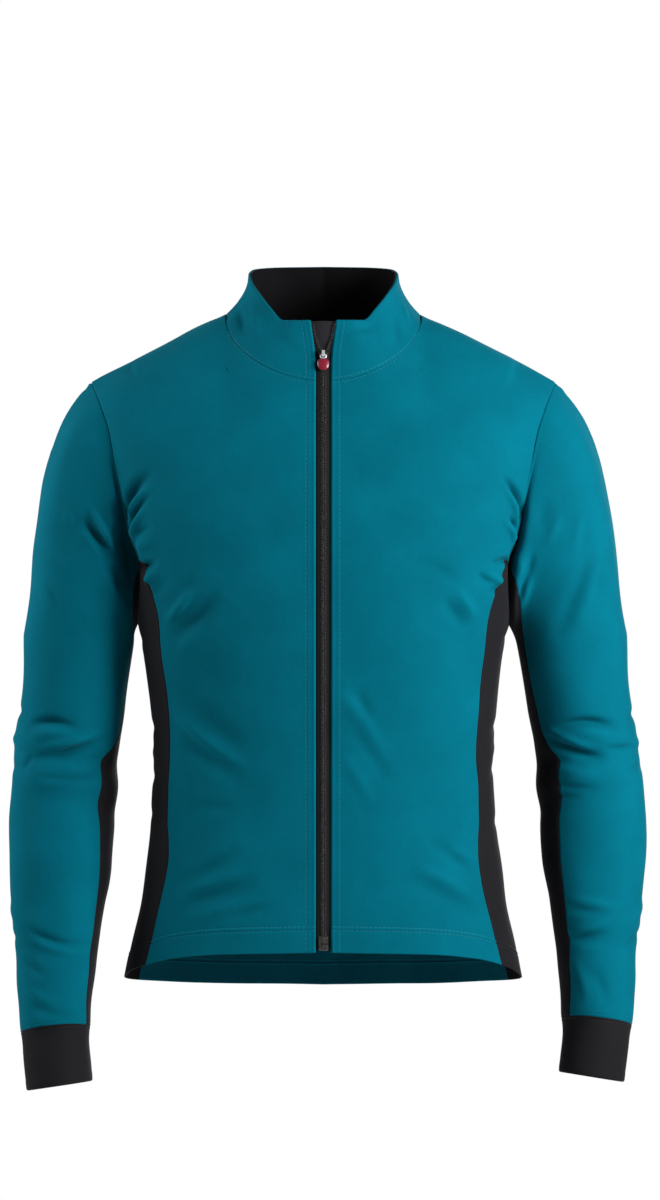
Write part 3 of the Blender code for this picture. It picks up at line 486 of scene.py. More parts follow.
def top_edge(face, n_neck, n_shoulder):
    tab = NECK_FRONT if face < 0 else NECK_BACK
    neck = np.stack([tab["x"], body_y(tab["x"], tab["z"], face), tab["z"]], axis=-1)
    neck[-1] = (NECK_X, 0.0, NECK_Z)
    x = np.linspace(NECK_X, SHOULDER_X, 30)
    shoulder = np.stack([x, 0 * x, at(RIDGE, "x", "z", x)], axis=-1)
    shoulder[0], shoulder[-1] = neck[-1], (SHOULDER_X, 0.0, SHOULDER_Z)
    return np.concatenate([along(neck, n_neck)[:-1], along(shoulder, n_shoulder)])


def half_body(face, n_neck, n_shoulder, n_low, n_high):
    """Half of the front or back, on the +X side, hem to top and centre to side."""
    right = side_edge(face, n_low, n_high)
    top = top_edge(face, n_neck, n_shoulder)
    n, x0 = n_neck + n_shoulder, (ZIP_HALF if face < 0 else 0.0)
    if face < 0:
        p = float(at(TORSO, "z", "front_square", HEM["z"][0]))
        w = float(at(TORSO, "z", "half_width", HEM["z"][0]))
        first = math.degrees(math.asin((x0 / w) ** (p / 2)))
        angles = np.linspace(first, hem_corner(face), n + 1)
    else:
        angles = np.linspace(180.0, hem_corner(face), n + 1)
    bottom = hem_point(angles)
    bottom[0, 0], bottom[-1] = x0, right[0]
    z = np.concatenate(
        [
            np.linspace(bottom[0, 2], UNDERARM_Z, n_low + 1)[:-1],
            np.linspace(UNDERARM_Z, top[0, 2], n_high + 1),
        ]
    )
    left = np.stack([0 * z + x0, body_y(0 * z + x0, z, face), z], axis=-1)
    left[0], left[-1] = bottom[0], top[0]
    grid = patch(bottom, top, left, right, face)
    if face < 0:
        spread_lines(grid[-30:, 27:105], face)
    return grid


SPREAD_OUT = 0.014  # how far the grid's lines stand out sideways, so that they leave the neckline at an angle


def spread_lines(part, face):
    """Spreads a part of the body's grid evenly between its own edges, in place and on the body's surface."""
    for _ in range(1500):
        flat = part[..., :2]
        flat[1:-1, 1:-1] = 0.25 * (flat[:-2, 1:-1] + flat[2:, 1:-1] + flat[1:-1, :-2] + flat[1:-1, 2:])
    up, across = (np.linspace(0, 1, k) for k in part.shape[:2])
    part[..., 0] += SPREAD_OUT * (math.pi * up**2 * (1 - up))[:, None] * np.sin(math.pi * across)[None]
    x, y = part[1:-1, 1:-1, 0], part[1:-1, 1:-1, 1]
    high = at(RIDGE, "x", "z", x)
    low = high - 0.16
    for _ in range(40):
        z = 0.5 * (low + high)
        above = np.abs(body_y(x, z, face)) < np.abs(y)
        low, high = np.where(above, low, z), np.where(above, z, high)
    part[1:-1, 1:-1, 2] = z


def side_panel(n_across, n_low):
    """The +X side panel, hem to underarm and front to back."""
    f, b = side_edge(-1, n_low, 4)[: n_low + 1], side_edge(1, n_low, 4)[: n_low + 1]
    u = np.linspace(0, 1, n_across + 1)
    af, ab = np.empty(n_low + 1), np.empty(n_low + 1)
    for i in range(n_low + 1):
        af[i], ab[i] = float(seam_angle(f[i, 2], -1)), float(seam_angle(b[i, 2], 1))
    out = np.empty((n_low + 1, n_across + 1, 3))
    v = np.linspace(0, 1, n_low + 1)
    for j, uj in enumerate(u):
        ang = af + (ab - af) * uj
        z = f[:, 2] + (b[:, 2] - f[:, 2]) * uj - UNDERARM_DROP * math.sin(math.pi * uj) * v**2
        if 0 < j < n_across:
            zh = float(at(HEM, "angle", "z", ang[0]))
            z = z + (1 - v) ** 3 * (zh - z[0])
        out[:, j] = ring(ang, z)
    fix_f, fix_b = f - out[:, 0], b - out[:, -1]
    w = u[None, :, None]
    out = out + (1 - w) ** 3 * fix_f[:, None] + w**3 * fix_b[:, None]
    out[:, 0], out[:, -1] = f, b
    return out


# ---------------------------------------------------------------- the sleeves
def arm_axis(z, side):
    """The middle of the arm at a height, for the wearer's left (side 1) or right (side -1), as if on +X."""
    name = "left" if side > 0 else "right"
    x = at(SLEEVE, "z", "x", z) + at(POSE, "z", name + "_out", z)
    return np.stack([x, at(SLEEVE, "z", "y", z), z + at(POSE, "z", name + "_up", z)], axis=-1)


def arm_ring(z, angles, side, swell=0.0):
    """Points round the arm at a height, square to the arm, by angle: 0 outwards, 90 forwards."""
    mid = arm_axis(z, side)
    way = arm_axis(z - 0.012, side) - arm_axis(min(z + 0.012, SLEEVE_TOP_Z), side)
    way = way / np.linalg.norm(way)
    out = np.array([1.0, 0, 0]) - way[0] * way
    out = out / np.linalg.norm(out)
    fore = np.cross(way, out)
    if fore[1] > 0:
        fore = -fore
    a = np.radians(angles)
    across, deep = float(at(SLEEVE, "z", "across", z)), float(at(SLEEVE, "z", "deep", z))
    r = 1 + swell
    t = float(np.clip((-0.560 - z) / 0.065, 0, 1))
    lean = np.outer(np.cos(a), [0, 0, -CUFF_LEAN * t * t * (3 - 2 * t)])
    return mid + np.outer(across * np.cos(a) * r, out) + np.outer(deep * np.sin(a) * r, fore) + lean, way


def sleeve_angles(z, side, n_high, n_side):
    """The angle of each column round the arm, from the back seam over the top to the front seam, then under."""
    name = "left" if side > 0 else "right"
    front = float(at(UNDER_SEAM, "z", name + "_front", z))
    back = float(at(UNDER_SEAM, "z", name + "_back", z))
    upper = np.concatenate([np.linspace(back - 360, 0, n_high + 1)[:-1], np.linspace(0, front, n_high + 1)])
    return upper, np.linspace(front, back, n_side + 1)


def arm_folds(z, angles, side):
    """The sleeve's largest folds: how far each column stands out, as a share of the arm's half width."""
    out = 0 * np.asarray(angles, float)
    for name, zc, wide, angle, spread, share in zip(*(ARM_FOLDS[k] for k in "side z wide angle spread share".split())):
        if name and name != side:
            continue
        turn = (np.asarray(angles) - angle + 180) % 360 - 180
        out = out + share * np.exp(-(((z - zc) / wide) ** 2)) * np.exp(-((turn / spread) ** 2))
    return out


# Which arm (0 for both), the fold's height, its half width along the arm, its middle angle and reach round it, how deep.
ARM_FOLDS = table(
    "side z wide angle spread share",
    [
        (0, -0.372, 0.011, 75, 60, 0.050),
        (0, -0.392, 0.010, 120, 60, -0.060),
        (0, -0.412, 0.011, 110, 70, 0.055),
        (0, -0.434, 0.011, 130, 60, -0.040),
        (0, -0.545, 0.012, 70, 70, 0.045),
        (0, -0.566, 0.010, 90, 70, -0.045),
        (0, -0.590, 0.012, 60, 80, 0.035),
        (0, -0.628, 0.012, 100, 90, 0.045),
    ],
)


def sleeve_grid(side, n_high, n_side, n_cap, n_arm):
    """(upper sleeve, undersleeve) grids on +X, rows from the armhole to the cuff."""
    front, back = armhole(-1), armhole(1)
    under = side_panel(n_side, 12)[-1]
    loop_up = np.concatenate([along(back, n_high)[:-1], along(front, n_high)[::-1]])
    z1 = SLEEVE_TOP_Z
    zs = np.linspace(z1, CUFF_TOP_Z, n_arm + 1)
    up, un = [], []
    au, an = sleeve_angles(z1, side, n_high, n_side)
    for loop, ang, store in ((loop_up, au, up), (under, an, un)):
        first, way = arm_ring(z1, ang, side)
        gap = np.linalg.norm(first - loop, axis=1)
        turn = ang % 360
        start = np.stack(
            [at(CAP_WAY, "angle", "out", turn), -at(CAP_WAY, "angle", "forward", turn), at(CAP_WAY, "angle", "up", turn)],
            axis=-1,
        )
        start = start / np.linalg.norm(start, axis=1)[:, None]
        pull = at(CAP_WAY, "angle", "pull", turn)
        t0 = start * (gap * pull * 1.15)[:, None]
        t1 = way[None, :] * (gap * 0.85)[:, None]
        t1[:, 0] += CAP_FLARE * np.clip(np.cos(np.radians(turn)), 0, 1)
        for k in range(n_cap):
            t = k / n_cap
            h00, h10 = (1 + 2 * t) * (1 - t) ** 2, t * (1 - t) ** 2
            h01, h11 = t * t * (3 - 2 * t), -t * t * (1 - t)
            store.append(h00 * loop + h10 * t0 + h01 * first + h11 * t1)
    for z in zs:
        au, an = sleeve_angles(z, side, n_high, n_side)
        up.append(arm_ring(z, au, side, arm_folds(z, au, side))[0])
        un.append(arm_ring(z, an, side, arm_folds(z, an, side))[0])
    return np.array(up), np.array(un)


def cuff_grid(side, n_high, n_side, rows):
    """The cuff as a closed tube, rows down from the sleeve's end, columns round from the back seam."""
    au, an = sleeve_angles(CUFF_TOP_Z, side, n_high, n_side)
    ang = np.concatenate([au, an[1:-1]])
    out = []
    for z in np.linspace(CUFF_TOP_Z, CUFF_END_Z, rows + 1):
        out.append(arm_ring(z, ang, side, arm_folds(z, ang, side) if z == CUFF_TOP_Z else 0.0)[0])
    return np.array(out)


# ---------------------------------------------------------------- the collar
def collar_grid(n_front, n_back, rows):
    """Half the collar on +X, from the zip to the centre back, base to top."""
    f = top_edge(-1, n_front, SHOULDER)[: n_front + 1]
    b = top_edge(1, n_back, SHOULDER)[: n_back + 1][::-1]
    base = np.concatenate([f, b[1:]])
    run = np.concatenate([[0], np.cumsum(np.linalg.norm(np.diff(base, axis=0), axis=1))])
    share = run / run[-1]
    top = np.stack([at(COLLAR_TOP, "share", k, share) for k in "xyz"], axis=-1)
    out = []
    lean = (top - base) * np.array([1, 1, 0]) * at(COLLAR_TOP, "share", "hollow", share)[:, None]
    for h in np.linspace(0, 1, rows + 1):
        out.append(base * (1 - h) + top * h + lean * (h * (1 - h)))
    out = np.array(out)
    # Its front edge stays beside the zip up to the slider, then falls open.
    rise = (out[:, 0, 2] - out[0, 0, 2]) / (out[-1, 0, 2] - out[0, 0, 2])
    out[:, 0, 0] = ZIP_HALF + (COLLAR_OPEN - ZIP_HALF) * np.clip((rise - 0.35) / 0.65, 0, 1) ** 1.2
    return out


# ---------------------------------------------------------------- cloth pieces
def normals(grid, closed=False):
    g = np.concatenate([grid[:, -1:], grid, grid[:, :1]], axis=1) if closed else grid
    du = np.gradient(g, axis=1)
    if closed:
        du = du[:, 1:-1]
    dv = np.gradient(grid, axis=0)
    n = np.cross(du, dv)
    return n / np.maximum(np.linalg.norm(n, axis=2, keepdims=True), 1e-12)


def unit(v):
    return v / np.maximum(np.linalg.norm(v, axis=-1, keepdims=True), 1e-12)


class Cloth:
    """One cut piece: its middle surface as a grid and its outward normals."""

    all = {}

    def __init__(self, name, skin, grid, outward, closed=False):
        self.name, self.skin, self.grid, self.closed = name, skin, grid, closed
        self.flat_grid = grid
        self.n = normals(grid, closed)
        mid = grid.shape[0] // 2, grid.shape[1] // 2
        self.turned = -1.0 if np.dot(self.n[mid], outward(grid[mid])) < 0 else 1.0
        self.n = self.n * self.turned
        Cloth.all[name] = self

    def edge_places(self):
        m, n = self.grid.shape[:2]
        places = {(0, j) for j in range(n)} | {(m - 1, j) for j in range(n)}
        if not self.closed:
            places |= {(i, 0) for i in range(m)} | {(i, n - 1) for i in range(m)}
        return places


def seam_meetings():
    """The places where pieces share a point of a seam."""
    meeting = {}
    for c in Cloth.all.values():
        for i, j in c.edge_places():
            meeting.setdefault(tuple(np.round(c.grid[i, j] * 1e5).astype(int)), []).append((c, i, j))
    return [group for group in meeting.values() if len(group) > 1]


def share_seams(groups):
    for group in groups:
        n = sum(c.n[i, j] for c, i, j in group)
        p = sum(c.grid[i, j] for c, i, j in group) / len(group)
        n = n / np.linalg.norm(n)
        for c, i, j in group:
            c.n[i, j], c.grid[i, j] = n, p


def flip(grid):
    """The same piece on the wearer's right."""
    return grid * np.array([-1.0, 1.0, 1.0])


def away_from_body(p):
    return np.array([p[0], p[1], 0.0])


def away_from_arm(side):
    def way(p):
        z = float(np.clip(p[2], CUFF_END_Z, SLEEVE_TOP_Z))
        return p - arm_axis(z, side) * np.array([side, 1, 1])

    return way


front = half_body(-1, NECK_F, SHOULDER, LOW, HIGH)
back_half = half_body(1, NECK_B, SHOULDER, LOW, HIGH)
back = np.concatenate([flip(back_half)[:, ::-1], back_half[:, 1:]], axis=1)
side = side_panel(SIDE, LOW)
collar_half = collar_grid(NECK_F, NECK_B, COLLAR_ROWS)
collar = np.concatenate([flip(collar_half), collar_half[:, ::-1][:, 1:]], axis=1)
BODY, LEFT_ARM, RIGHT_ARM, NECK = 0, 1, 2, 3
MM = 0.001
Cloth("front_left", BODY, front, away_from_body)
Cloth("front_right", BODY, flip(front), away_from_body)
Cloth("back", BODY, back, away_from_body)
Cloth("side_left", BODY, side, away_from_body)
Cloth("side_right", BODY, flip(side), away_from_body)
for name, s in (("left", 1), ("right", -1)):
    upper, under = sleeve_grid(s, HIGH, SIDE, CAP, ARM)
    cuff = cuff_grid(s, HIGH, SIDE, CUFF_ROWS)
    if s < 0:
        upper, under, cuff = flip(upper), flip(under), flip(cuff)
    arm = LEFT_ARM if s > 0 else RIGHT_ARM
    Cloth("sleeve_" + name, arm, upper, away_from_arm(s))
    Cloth("undersleeve_" + name, arm, under, away_from_arm(s))
    Cloth("cuff_" + name, arm, cuff, away_from_arm(s), closed=True)
Cloth("collar", NECK, collar, away_from_body)
MEETINGS = seam_meetings()
share_seams(MEETINGS)


# ---------------------------------------------------------------- creases
# skin: 0 the body, 1 the wearer's left sleeve, 2 the right, 3 the collar.
# view: 0 seen from the front, 1 from behind, 2 from the wearer's left, 3 from the right.
# Its ends are given across and up as seen there, in metres.  bow is how far its middle stands to the left
# of the straight way, as a share of its length.  wide and deep are millimetres, and a ridge's deep is above
# nothing.  lean widens one flank, head is where along it is strongest, and flare widens its far end.
CREASES = table(
    "skin view a0 z0 a1 z1 bow wide deep lean head flare",
    [
        # the front, from the armpits down to the hem
        (0, 0, -0.1769, -0.1751, -0.1483, -0.1297, 0.20, 4.6, -4.8, 0.0, 0.35, 1.8),
        (0, 0, -0.1746, -0.1742, -0.1519, -0.1424, 0.18, 2.6, 3.2, 0.0, 0.30, 1.3),
        (0, 0, -0.1737, -0.1796, -0.1519, -0.1497, 0.14, 2.8, -3.0, 0.0, 0.30, 1.4),
        (0, 0, -0.1728, -0.1887, -0.1592, -0.1624, 0.10, 3.0, 3.0, 0.0, 0.25, 1.3),
        (0, 0, -0.1682, -0.1850, -0.1519, -0.1769, 0.05, 3.4, -1.5, 0.0, 0.30, 1.2),
        (0, 0, -0.1682, -0.1977, -0.1501, -0.1905, 0.05, 6.0, 2.6, 0.0, 0.20, 1.3),
        (0, 0, -0.1655, -0.2150, -0.1483, -0.2095, 0.00, 3.8, -4.2, 0.0, 0.12, 1.2),
        (0, 0, -0.1610, -0.2277, -0.1465, -0.2186, 0.05, 3.8, 3.2, 0.0, 0.20, 1.3),
        (0, 0, -0.1556, -0.2386, -0.1374, -0.2295, 0.05, 4.5, -1.4, 0.0, 0.30, 1.3),
        (0, 0, -0.1428, -0.2640, -0.1156, -0.2349, -0.05, 5.0, 2.6, 0.2, 0.50, 1.0),
        (0, 0, -0.1374, -0.2780, -0.0921, -0.2367, -0.04, 8.0, -3.0, 0.0, 0.45, 1.1),
        (0, 0, -0.1278, -0.2360, -0.1117, -0.2253, 0.00, 6.0, -0.9, 0.0, 0.50, 1.0),
        (0, 0, -0.1305, -0.2922, -0.1055, -0.2663, 0.00, 8.0, 0.8, 0.0, 0.40, 1.0),
        (0, 0, -0.1260, -0.3240, -0.0680, -0.3780, -0.05, 10.0, -1.5, 0.0, 0.50, 1.0),
        (0, 0, -0.1380, -0.3400, -0.0640, -0.3960, -0.06, 6.5, 1.8, 0.2, 0.35, 1.0),
        (0, 0, -0.1300, -0.3600, -0.0700, -0.4080, -0.05, 9.0, -1.5, 0.0, 0.50, 1.0),
        (0, 0, -0.1189, -0.4313, -0.0778, -0.4322, 0.05, 6.0, -0.7, 0.0, 0.50, 1.0),
        (0, 0, -0.1360, -0.5010, -0.0720, -0.4640, -0.05, 7.5, -1.5, 0.0, 0.50, 1.0),
        (0, 0, -0.1242, -0.5071, -0.0698, -0.4831, -0.03, 6.5, 1.3, 0.0, 0.40, 1.0),
        (0, 0, -0.1400, -0.5300, -0.0560, -0.4960, 0.05, 8.0, -1.6, 0.0, 0.45, 1.0),
        (0, 0, -0.1260, -0.5339, -0.0529, -0.5116, 0.03, 6.0, 0.9, 0.0, 0.40, 1.0),
        (0, 0, -0.0903, -0.5339, -0.0440, -0.5161, 0.03, 5.0, -0.9, 0.0, 0.50, 1.0),
        (0, 0, 0.0130, -0.3240, 0.0540, -0.3880, 0.06, 7.5, 1.1, -0.2, 0.40, 1.0),
        (0, 0, 0.0256, -0.3216, 0.0408, -0.3537, 0.05, 7.0, -0.9, 0.0, 0.50, 1.0),
        (0, 0, 0.0230, -0.3580, 0.0600, -0.4120, 0.04, 9.0, -1.1, 0.0, 0.50, 1.0),
        (0, 0, 0.0140, -0.3790, 0.0460, -0.4320, 0.03, 7.0, 0.9, 0.0, 0.40, 1.0),
        (0, 0, 0.1583, -0.1315, 0.1791, -0.1796, 0.14, 3.8, -4.4, 0.0, 0.55, 1.2),
        (0, 0, 0.1637, -0.1442, 0.1737, -0.1751, 0.10, 3.2, 2.6, 0.0, 0.60, 1.1),
        (0, 0, 0.1655, -0.1678, 0.1755, -0.1814, 0.05, 2.6, -2.6, 0.0, 0.70, 1.0),
        (0, 0, 0.1601, -0.1714, 0.1710, -0.1977, 0.18, 3.4, 2.8, 0.0, 0.55, 1.0),
        (0, 0, 0.1501, -0.2113, 0.1664, -0.2077, 0.00, 3.4, -4.0, 0.0, 0.88, 1.0),
        (0, 0, 0.1456, -0.2204, 0.1601, -0.2277, 0.00, 4.0, 3.0, 0.0, 0.80, 1.0),
        (0, 0, 0.1365, -0.2204, 0.1510, -0.2295, 0.00, 4.2, -2.0, 0.0, 0.50, 1.0),
        (0, 0, 0.1474, -0.2367, 0.1565, -0.2349, 0.00, 3.4, -1.6, 0.0, 0.80, 1.0),
        (0, 0, 0.1184, -0.2324, 0.1389, -0.2609, -0.03, 5.0, 1.7, 0.0, 0.50, 1.0),
        (0, 0, 0.1059, -0.2404, 0.1318, -0.2699, -0.04, 7.0, -2.2, 0.0, 0.50, 1.0),
        (0, 0, 0.0783, -0.2128, 0.1211, -0.2279, 0.10, 7.0, -0.9, 0.0, 0.60, 1.0),
        (0, 0, 0.0900, -0.4580, 0.1380, -0.4960, 0.05, 7.5, -1.5, 0.0, 0.50, 1.0),
        (0, 0, 0.1095, -0.4661, 0.1362, -0.4822, 0.05, 6.0, 1.1, 0.0, 0.50, 1.0),
        (0, 0, 0.0640, -0.4900, 0.1440, -0.5340, 0.05, 9.0, -1.6, 0.0, 0.50, 1.0),
        (0, 0, 0.0783, -0.4822, 0.1389, -0.5161, 0.05, 6.5, 1.2, 0.0, 0.50, 1.0),
        # the wearer's right sleeve in front
        (2, 0, -0.2136, -0.1569, -0.1882, -0.2023, 0.03, 2.8, 3.4, 0.2, 0.60, 1.0),
        (2, 0, -0.2209, -0.1678, -0.1918, -0.2095, 0.04, 6.0, -4.0, 0.0, 0.50, 1.1),
        (2, 0, -0.2227, -0.1769, -0.2000, -0.2059, 0.03, 4.0, 1.4, 0.0, 0.50, 1.0),
        (2, 0, -0.2340, -0.1604, -0.2276, -0.1795, 0.05, 4.6, 1.0, 0.0, 0.50, 1.0),
        (2, 0, -0.2294, -0.1631, -0.2231, -0.1831, 0.05, 5.0, -0.7, 0.0, 0.50, 1.0),
        (2, 0, -0.2013, -0.2058, -0.1722, -0.2522, 0.04, 6.5, -1.6, 0.0, 0.50, 1.0),
        (2, 0, -0.2058, -0.2095, -0.1840, -0.2458, 0.04, 6.0, 0.9, 0.0, 0.50, 1.0),
        (2, 0, -0.2522, -0.2249, -0.2367, -0.2649, 0.05, 5.5, -0.9, 0.0, 0.50, 1.0),
        (2, 0, -0.2712, -0.3594, -0.2231, -0.3613, 0.13, 4.4, -3.6, 0.0, 0.45, 1.0),
        (2, 0, -0.2694, -0.3694, -0.2194, -0.3694, 0.10, 5.0, 1.6, 0.0, 0.50, 1.0),
        (2, 0, -0.2640, -0.3885, -0.1967, -0.3704, -0.03, 4.8, -3.8, 0.0, 0.50, 1.0),
        (2, 0, -0.2594, -0.3794, -0.2022, -0.3631, -0.02, 4.6, 2.3, 0.0, 0.60, 1.0),
        (2, 0, -0.2660, -0.4043, -0.2050, -0.4010, -0.05, 4.2, -2.0, 0.0, 0.60, 1.0),
        (2, 0, -0.2494, -0.3940, -0.2094, -0.3940, -0.05, 4.0, 1.1, 0.0, 0.50, 1.0),
        (2, 0, -0.2740, -0.4003, -0.2603, -0.3858, 0.10, 4.5, -1.5, 0.0, 0.50, 1.0),
        (2, 0, -0.2740, -0.5358, -0.2113, -0.5549, -0.12, 4.5, -2.0, 0.0, 0.40, 1.0),
        (2, 0, -0.2676, -0.5485, -0.2113, -0.5621, -0.08, 5.0, 1.7, 0.0, 0.60, 1.0),
        (2, 0, -0.2731, -0.5676, -0.2476, -0.5840, -0.08, 5.0, -1.3, 0.0, 0.40, 1.0),
        (2, 0, -0.2731, -0.5931, -0.2376, -0.6085, -0.05, 6.0, 1.1, 0.0, 0.40, 1.0),
        (2, 0, -0.2694, -0.6094, -0.2194, -0.6194, -0.04, 5.0, -1.1, 0.0, 0.50, 1.0),
        # the wearer's left sleeve in front
        (1, 0, 0.2150, -0.1640, 0.1996, -0.1960, 0.03, 5.0, 0.9, 0.0, 0.50, 1.0),
        (1, 0, 0.2333, -0.1600, 0.2242, -0.2040, 0.04, 5.5, 0.9, 0.0, 0.50, 1.0),
        (1, 0, 0.2396, -0.1695, 0.2296, -0.2058, 0.04, 8.0, -0.7, 0.0, 0.50, 1.0),
        (1, 0, 0.2523, -0.1900, 0.2290, -0.2700, 0.04, 7.0, 1.1, -0.2, 0.45, 1.0),
        (1, 0, 0.2414, -0.1976, 0.2196, -0.2567, 0.04, 8.0, -1.5, 0.0, 0.50, 1.0),
        (1, 0, 0.1891, -0.1986, 0.1746, -0.2458, 0.05, 3.8, -2.6, 0.0, 0.55, 1.0),
        (1, 0, 0.1855, -0.2113, 0.1791, -0.2513, 0.04, 4.2, 2.0, 0.0, 0.50, 1.0),
        (1, 0, 0.1809, -0.2077, 0.1728, -0.2277, 0.03, 3.0, 1.5, 0.0, 0.50, 1.0),
        (1, 0, 0.2045, -0.1515, 0.1918, -0.1805, 0.03, 8.0, -1.1, 0.0, 0.50, 1.0),
        (1, 0, 0.2269, -0.2285, 0.2114, -0.2822, 0.03, 9.0, -1.1, 0.0, 0.50, 1.0),
        (1, 0, 0.2069, -0.3613, 0.2723, -0.3622, 0.13, 4.4, -4.0, -0.2, 0.62, 1.0),
        (1, 0, 0.2114, -0.3694, 0.2623, -0.3676, 0.08, 5.0, 1.9, 0.0, 0.50, 1.0),
        (1, 0, 0.2014, -0.3676, 0.2587, -0.3885, -0.06, 6.0, -4.0, 0.0, 0.40, 0.8),
        (1, 0, 0.2014, -0.3613, 0.2460, -0.3785, -0.03, 4.2, 2.1, 0.0, 0.40, 1.0),
        (1, 0, 0.2542, -0.3785, 0.2887, -0.3776, -0.04, 4.0, -2.1, 0.0, 0.60, 1.0),
        (1, 0, 0.2069, -0.3976, 0.2532, -0.4013, -0.03, 6.0, 1.6, 0.0, 0.40, 1.0),
        (1, 0, 0.2033, -0.4103, 0.2532, -0.4158, -0.03, 4.2, -1.5, 0.0, 0.40, 1.0),
        (1, 0, 0.2042, -0.4240, 0.2387, -0.4213, 0.00, 3.6, -1.1, 0.0, 0.40, 1.0),
        (1, 0, 0.2205, -0.5167, 0.2705, -0.5231, 0.03, 4.2, 1.5, 0.0, 0.40, 1.0),
        (1, 0, 0.2205, -0.5249, 0.2623, -0.5285, 0.02, 4.2, -1.3, 0.0, 0.40, 1.0),
        (1, 0, 0.2205, -0.5449, 0.2660, -0.5303, -0.03, 4.6, 1.9, 0.0, 0.40, 1.0),
        (1, 0, 0.2205, -0.5512, 0.2587, -0.5440, -0.03, 4.6, -1.9, 0.0, 0.40, 1.0),
        (1, 0, 0.2233, -0.5612, 0.2532, -0.5576, 0.00, 5.0, 0.9, 0.0, 0.40, 1.0),
        (1, 0, 0.2260, -0.5694, 0.2396, -0.6094, 0.05, 6.0, 1.1, 0.0, 0.50, 1.0),
        (1, 0, 0.2423, -0.5758, 0.2569, -0.6131, 0.05, 6.0, -1.0, 0.0, 0.50, 1.0),
        # the collar
        (3, 0, -0.0797, 0.0266, -0.0725, -0.0059, 0.05, 5.0, -1.3, 0.0, 0.50, 1.0),
        (3, 0, -0.0662, 0.0266, -0.0598, -0.0113, 0.05, 6.0, 1.1, 0.0, 0.50, 1.0),
        (3, 0, 0.0709, 0.0284, 0.0773, 0.0068, 0.05, 3.2, 1.0, 0.0, 0.50, 1.0),
        (3, 0, 0.0637, 0.0185, 0.0673, -0.0158, 0.00, 5.0, -0.9, 0.0, 0.50, 1.0),
        (3, 0, 0.0177, -0.0014, 0.0511, 0.0022, 0.00, 4.0, -0.8, 0.0, 0.50, 1.0),
        (3, 0, -0.0526, -0.0005, -0.0211, -0.0203, 0.00, 7.0, -0.7, 0.0, 0.50, 1.0),
        # the back: fans at the armholes, folds across the small of the back, and above the hem
        (0, 1, 0.1700, -0.1650, 0.1380, -0.1330, 0.12, 6.5, -3.6, 0.0, 0.35, 1.5),
        (0, 1, 0.1690, -0.1790, 0.1430, -0.1560, 0.10, 4.5, 2.2, 0.0, 0.35, 1.3),
        (0, 1, 0.1660, -0.1960, 0.1370, -0.1800, 0.06, 5.0, -2.2, 0.0, 0.35, 1.3),
        (0, 1, 0.1640, -0.2110, 0.1300, -0.2030, 0.04, 5.5, 2.0, 0.0, 0.35, 1.2),
        (0, 1, 0.1590, -0.2420, 0.1260, -0.2230, 0.04, 6.5, -2.0, 0.0, 0.40, 1.2),
        (0, 1, -0.1710, -0.1620, -0.1420, -0.1280, -0.14, 6.0, -3.4, 0.0, 0.35, 1.5),
        (0, 1, -0.1690, -0.1760, -0.1460, -0.1500, -0.10, 4.5, 2.4, 0.0, 0.35, 1.3),
        (0, 1, -0.1670, -0.1930, -0.1350, -0.1740, -0.06, 5.5, -2.4, 0.0, 0.35, 1.3),
        (0, 1, -0.1640, -0.2090, -0.1340, -0.2010, -0.04, 5.0, 1.9, 0.0, 0.35, 1.2),
        (0, 1, -0.1580, -0.2400, -0.1180, -0.2160, -0.04, 7.0, -2.1, 0.0, 0.40, 1.2),
        (0, 1, 0.1440, -0.3480, 0.0580, -0.3720, -0.07, 8.0, -2.2, 0.0, 0.40, 1.1),
        (0, 1, 0.1380, -0.3700, 0.0420, -0.3900, -0.06, 7.5, 1.6, 0.0, 0.45, 1.0),
        (0, 1, 0.1420, -0.4020, 0.0340, -0.4060, 0.06, 8.0, -2.2, 0.0, 0.45, 1.0),
        (0, 1, 0.1360, -0.4300, 0.0640, -0.4230, 0.08, 7.0, 1.2, 0.0, 0.40, 1.0),
        (0, 1, -0.1430, -0.3560, -0.0440, -0.3800, 0.06, 8.5, -2.3, 0.0, 0.40, 1.1),
        (0, 1, -0.1390, -0.3830, -0.0500, -0.3950, 0.06, 7.0, 1.5, 0.0, 0.45, 1.0),
        (0, 1, -0.1410, -0.4160, -0.0280, -0.4110, -0.06, 7.5, -1.9, 0.0, 0.45, 1.0),
        (0, 1, -0.1350, -0.4390, -0.0720, -0.4280, -0.08, 7.0, 1.2, 0.0, 0.40, 1.0),
        (0, 1, 0.0260, -0.1200, 0.0180, -0.2900, 0.03, 11.0, -1.1, 0.0, 0.50, 1.0),
        (0, 1, -0.0220, -0.1400, -0.0300, -0.3100, -0.03, 12.0, -1.0, 0.0, 0.50, 1.0),
        (0, 1, 0.1520, -0.5480, 0.0900, -0.5080, 0.05, 7.5, -1.9, 0.0, 0.45, 1.0),
        (0, 1, 0.1480, -0.5250, 0.0820, -0.4860, 0.05, 7.0, 1.1, 0.0, 0.45, 1.0),
        (0, 1, -0.1540, -0.5420, -0.0800, -0.5010, -0.05, 7.5, -2.0, 0.0, 0.45, 1.0),
        (0, 1, -0.1500, -0.5630, -0.0900, -0.5290, -0.05, 7.0, 1.2, 0.0, 0.45, 1.0),
        # the body's sides
        (0, 2, -0.0500, -0.3700, 0.0560, -0.3560, 0.05, 6.5, -1.0, 0.0, 0.50, 1.0),
        (0, 2, -0.0420, -0.4050, 0.0600, -0.3980, 0.05, 6.5, -1.1, 0.0, 0.50, 1.0),
        (0, 2, -0.0460, -0.3880, 0.0480, -0.3780, 0.04, 5.5, 0.7, 0.0, 0.50, 1.0),
        (0, 2, -0.0380, -0.4480, 0.0500, -0.4360, -0.05, 6.0, -0.8, 0.0, 0.50, 1.0),
        (0, 2, -0.0440, -0.2900, 0.0320, -0.2720, 0.06, 6.5, -0.9, 0.0, 0.50, 1.0),
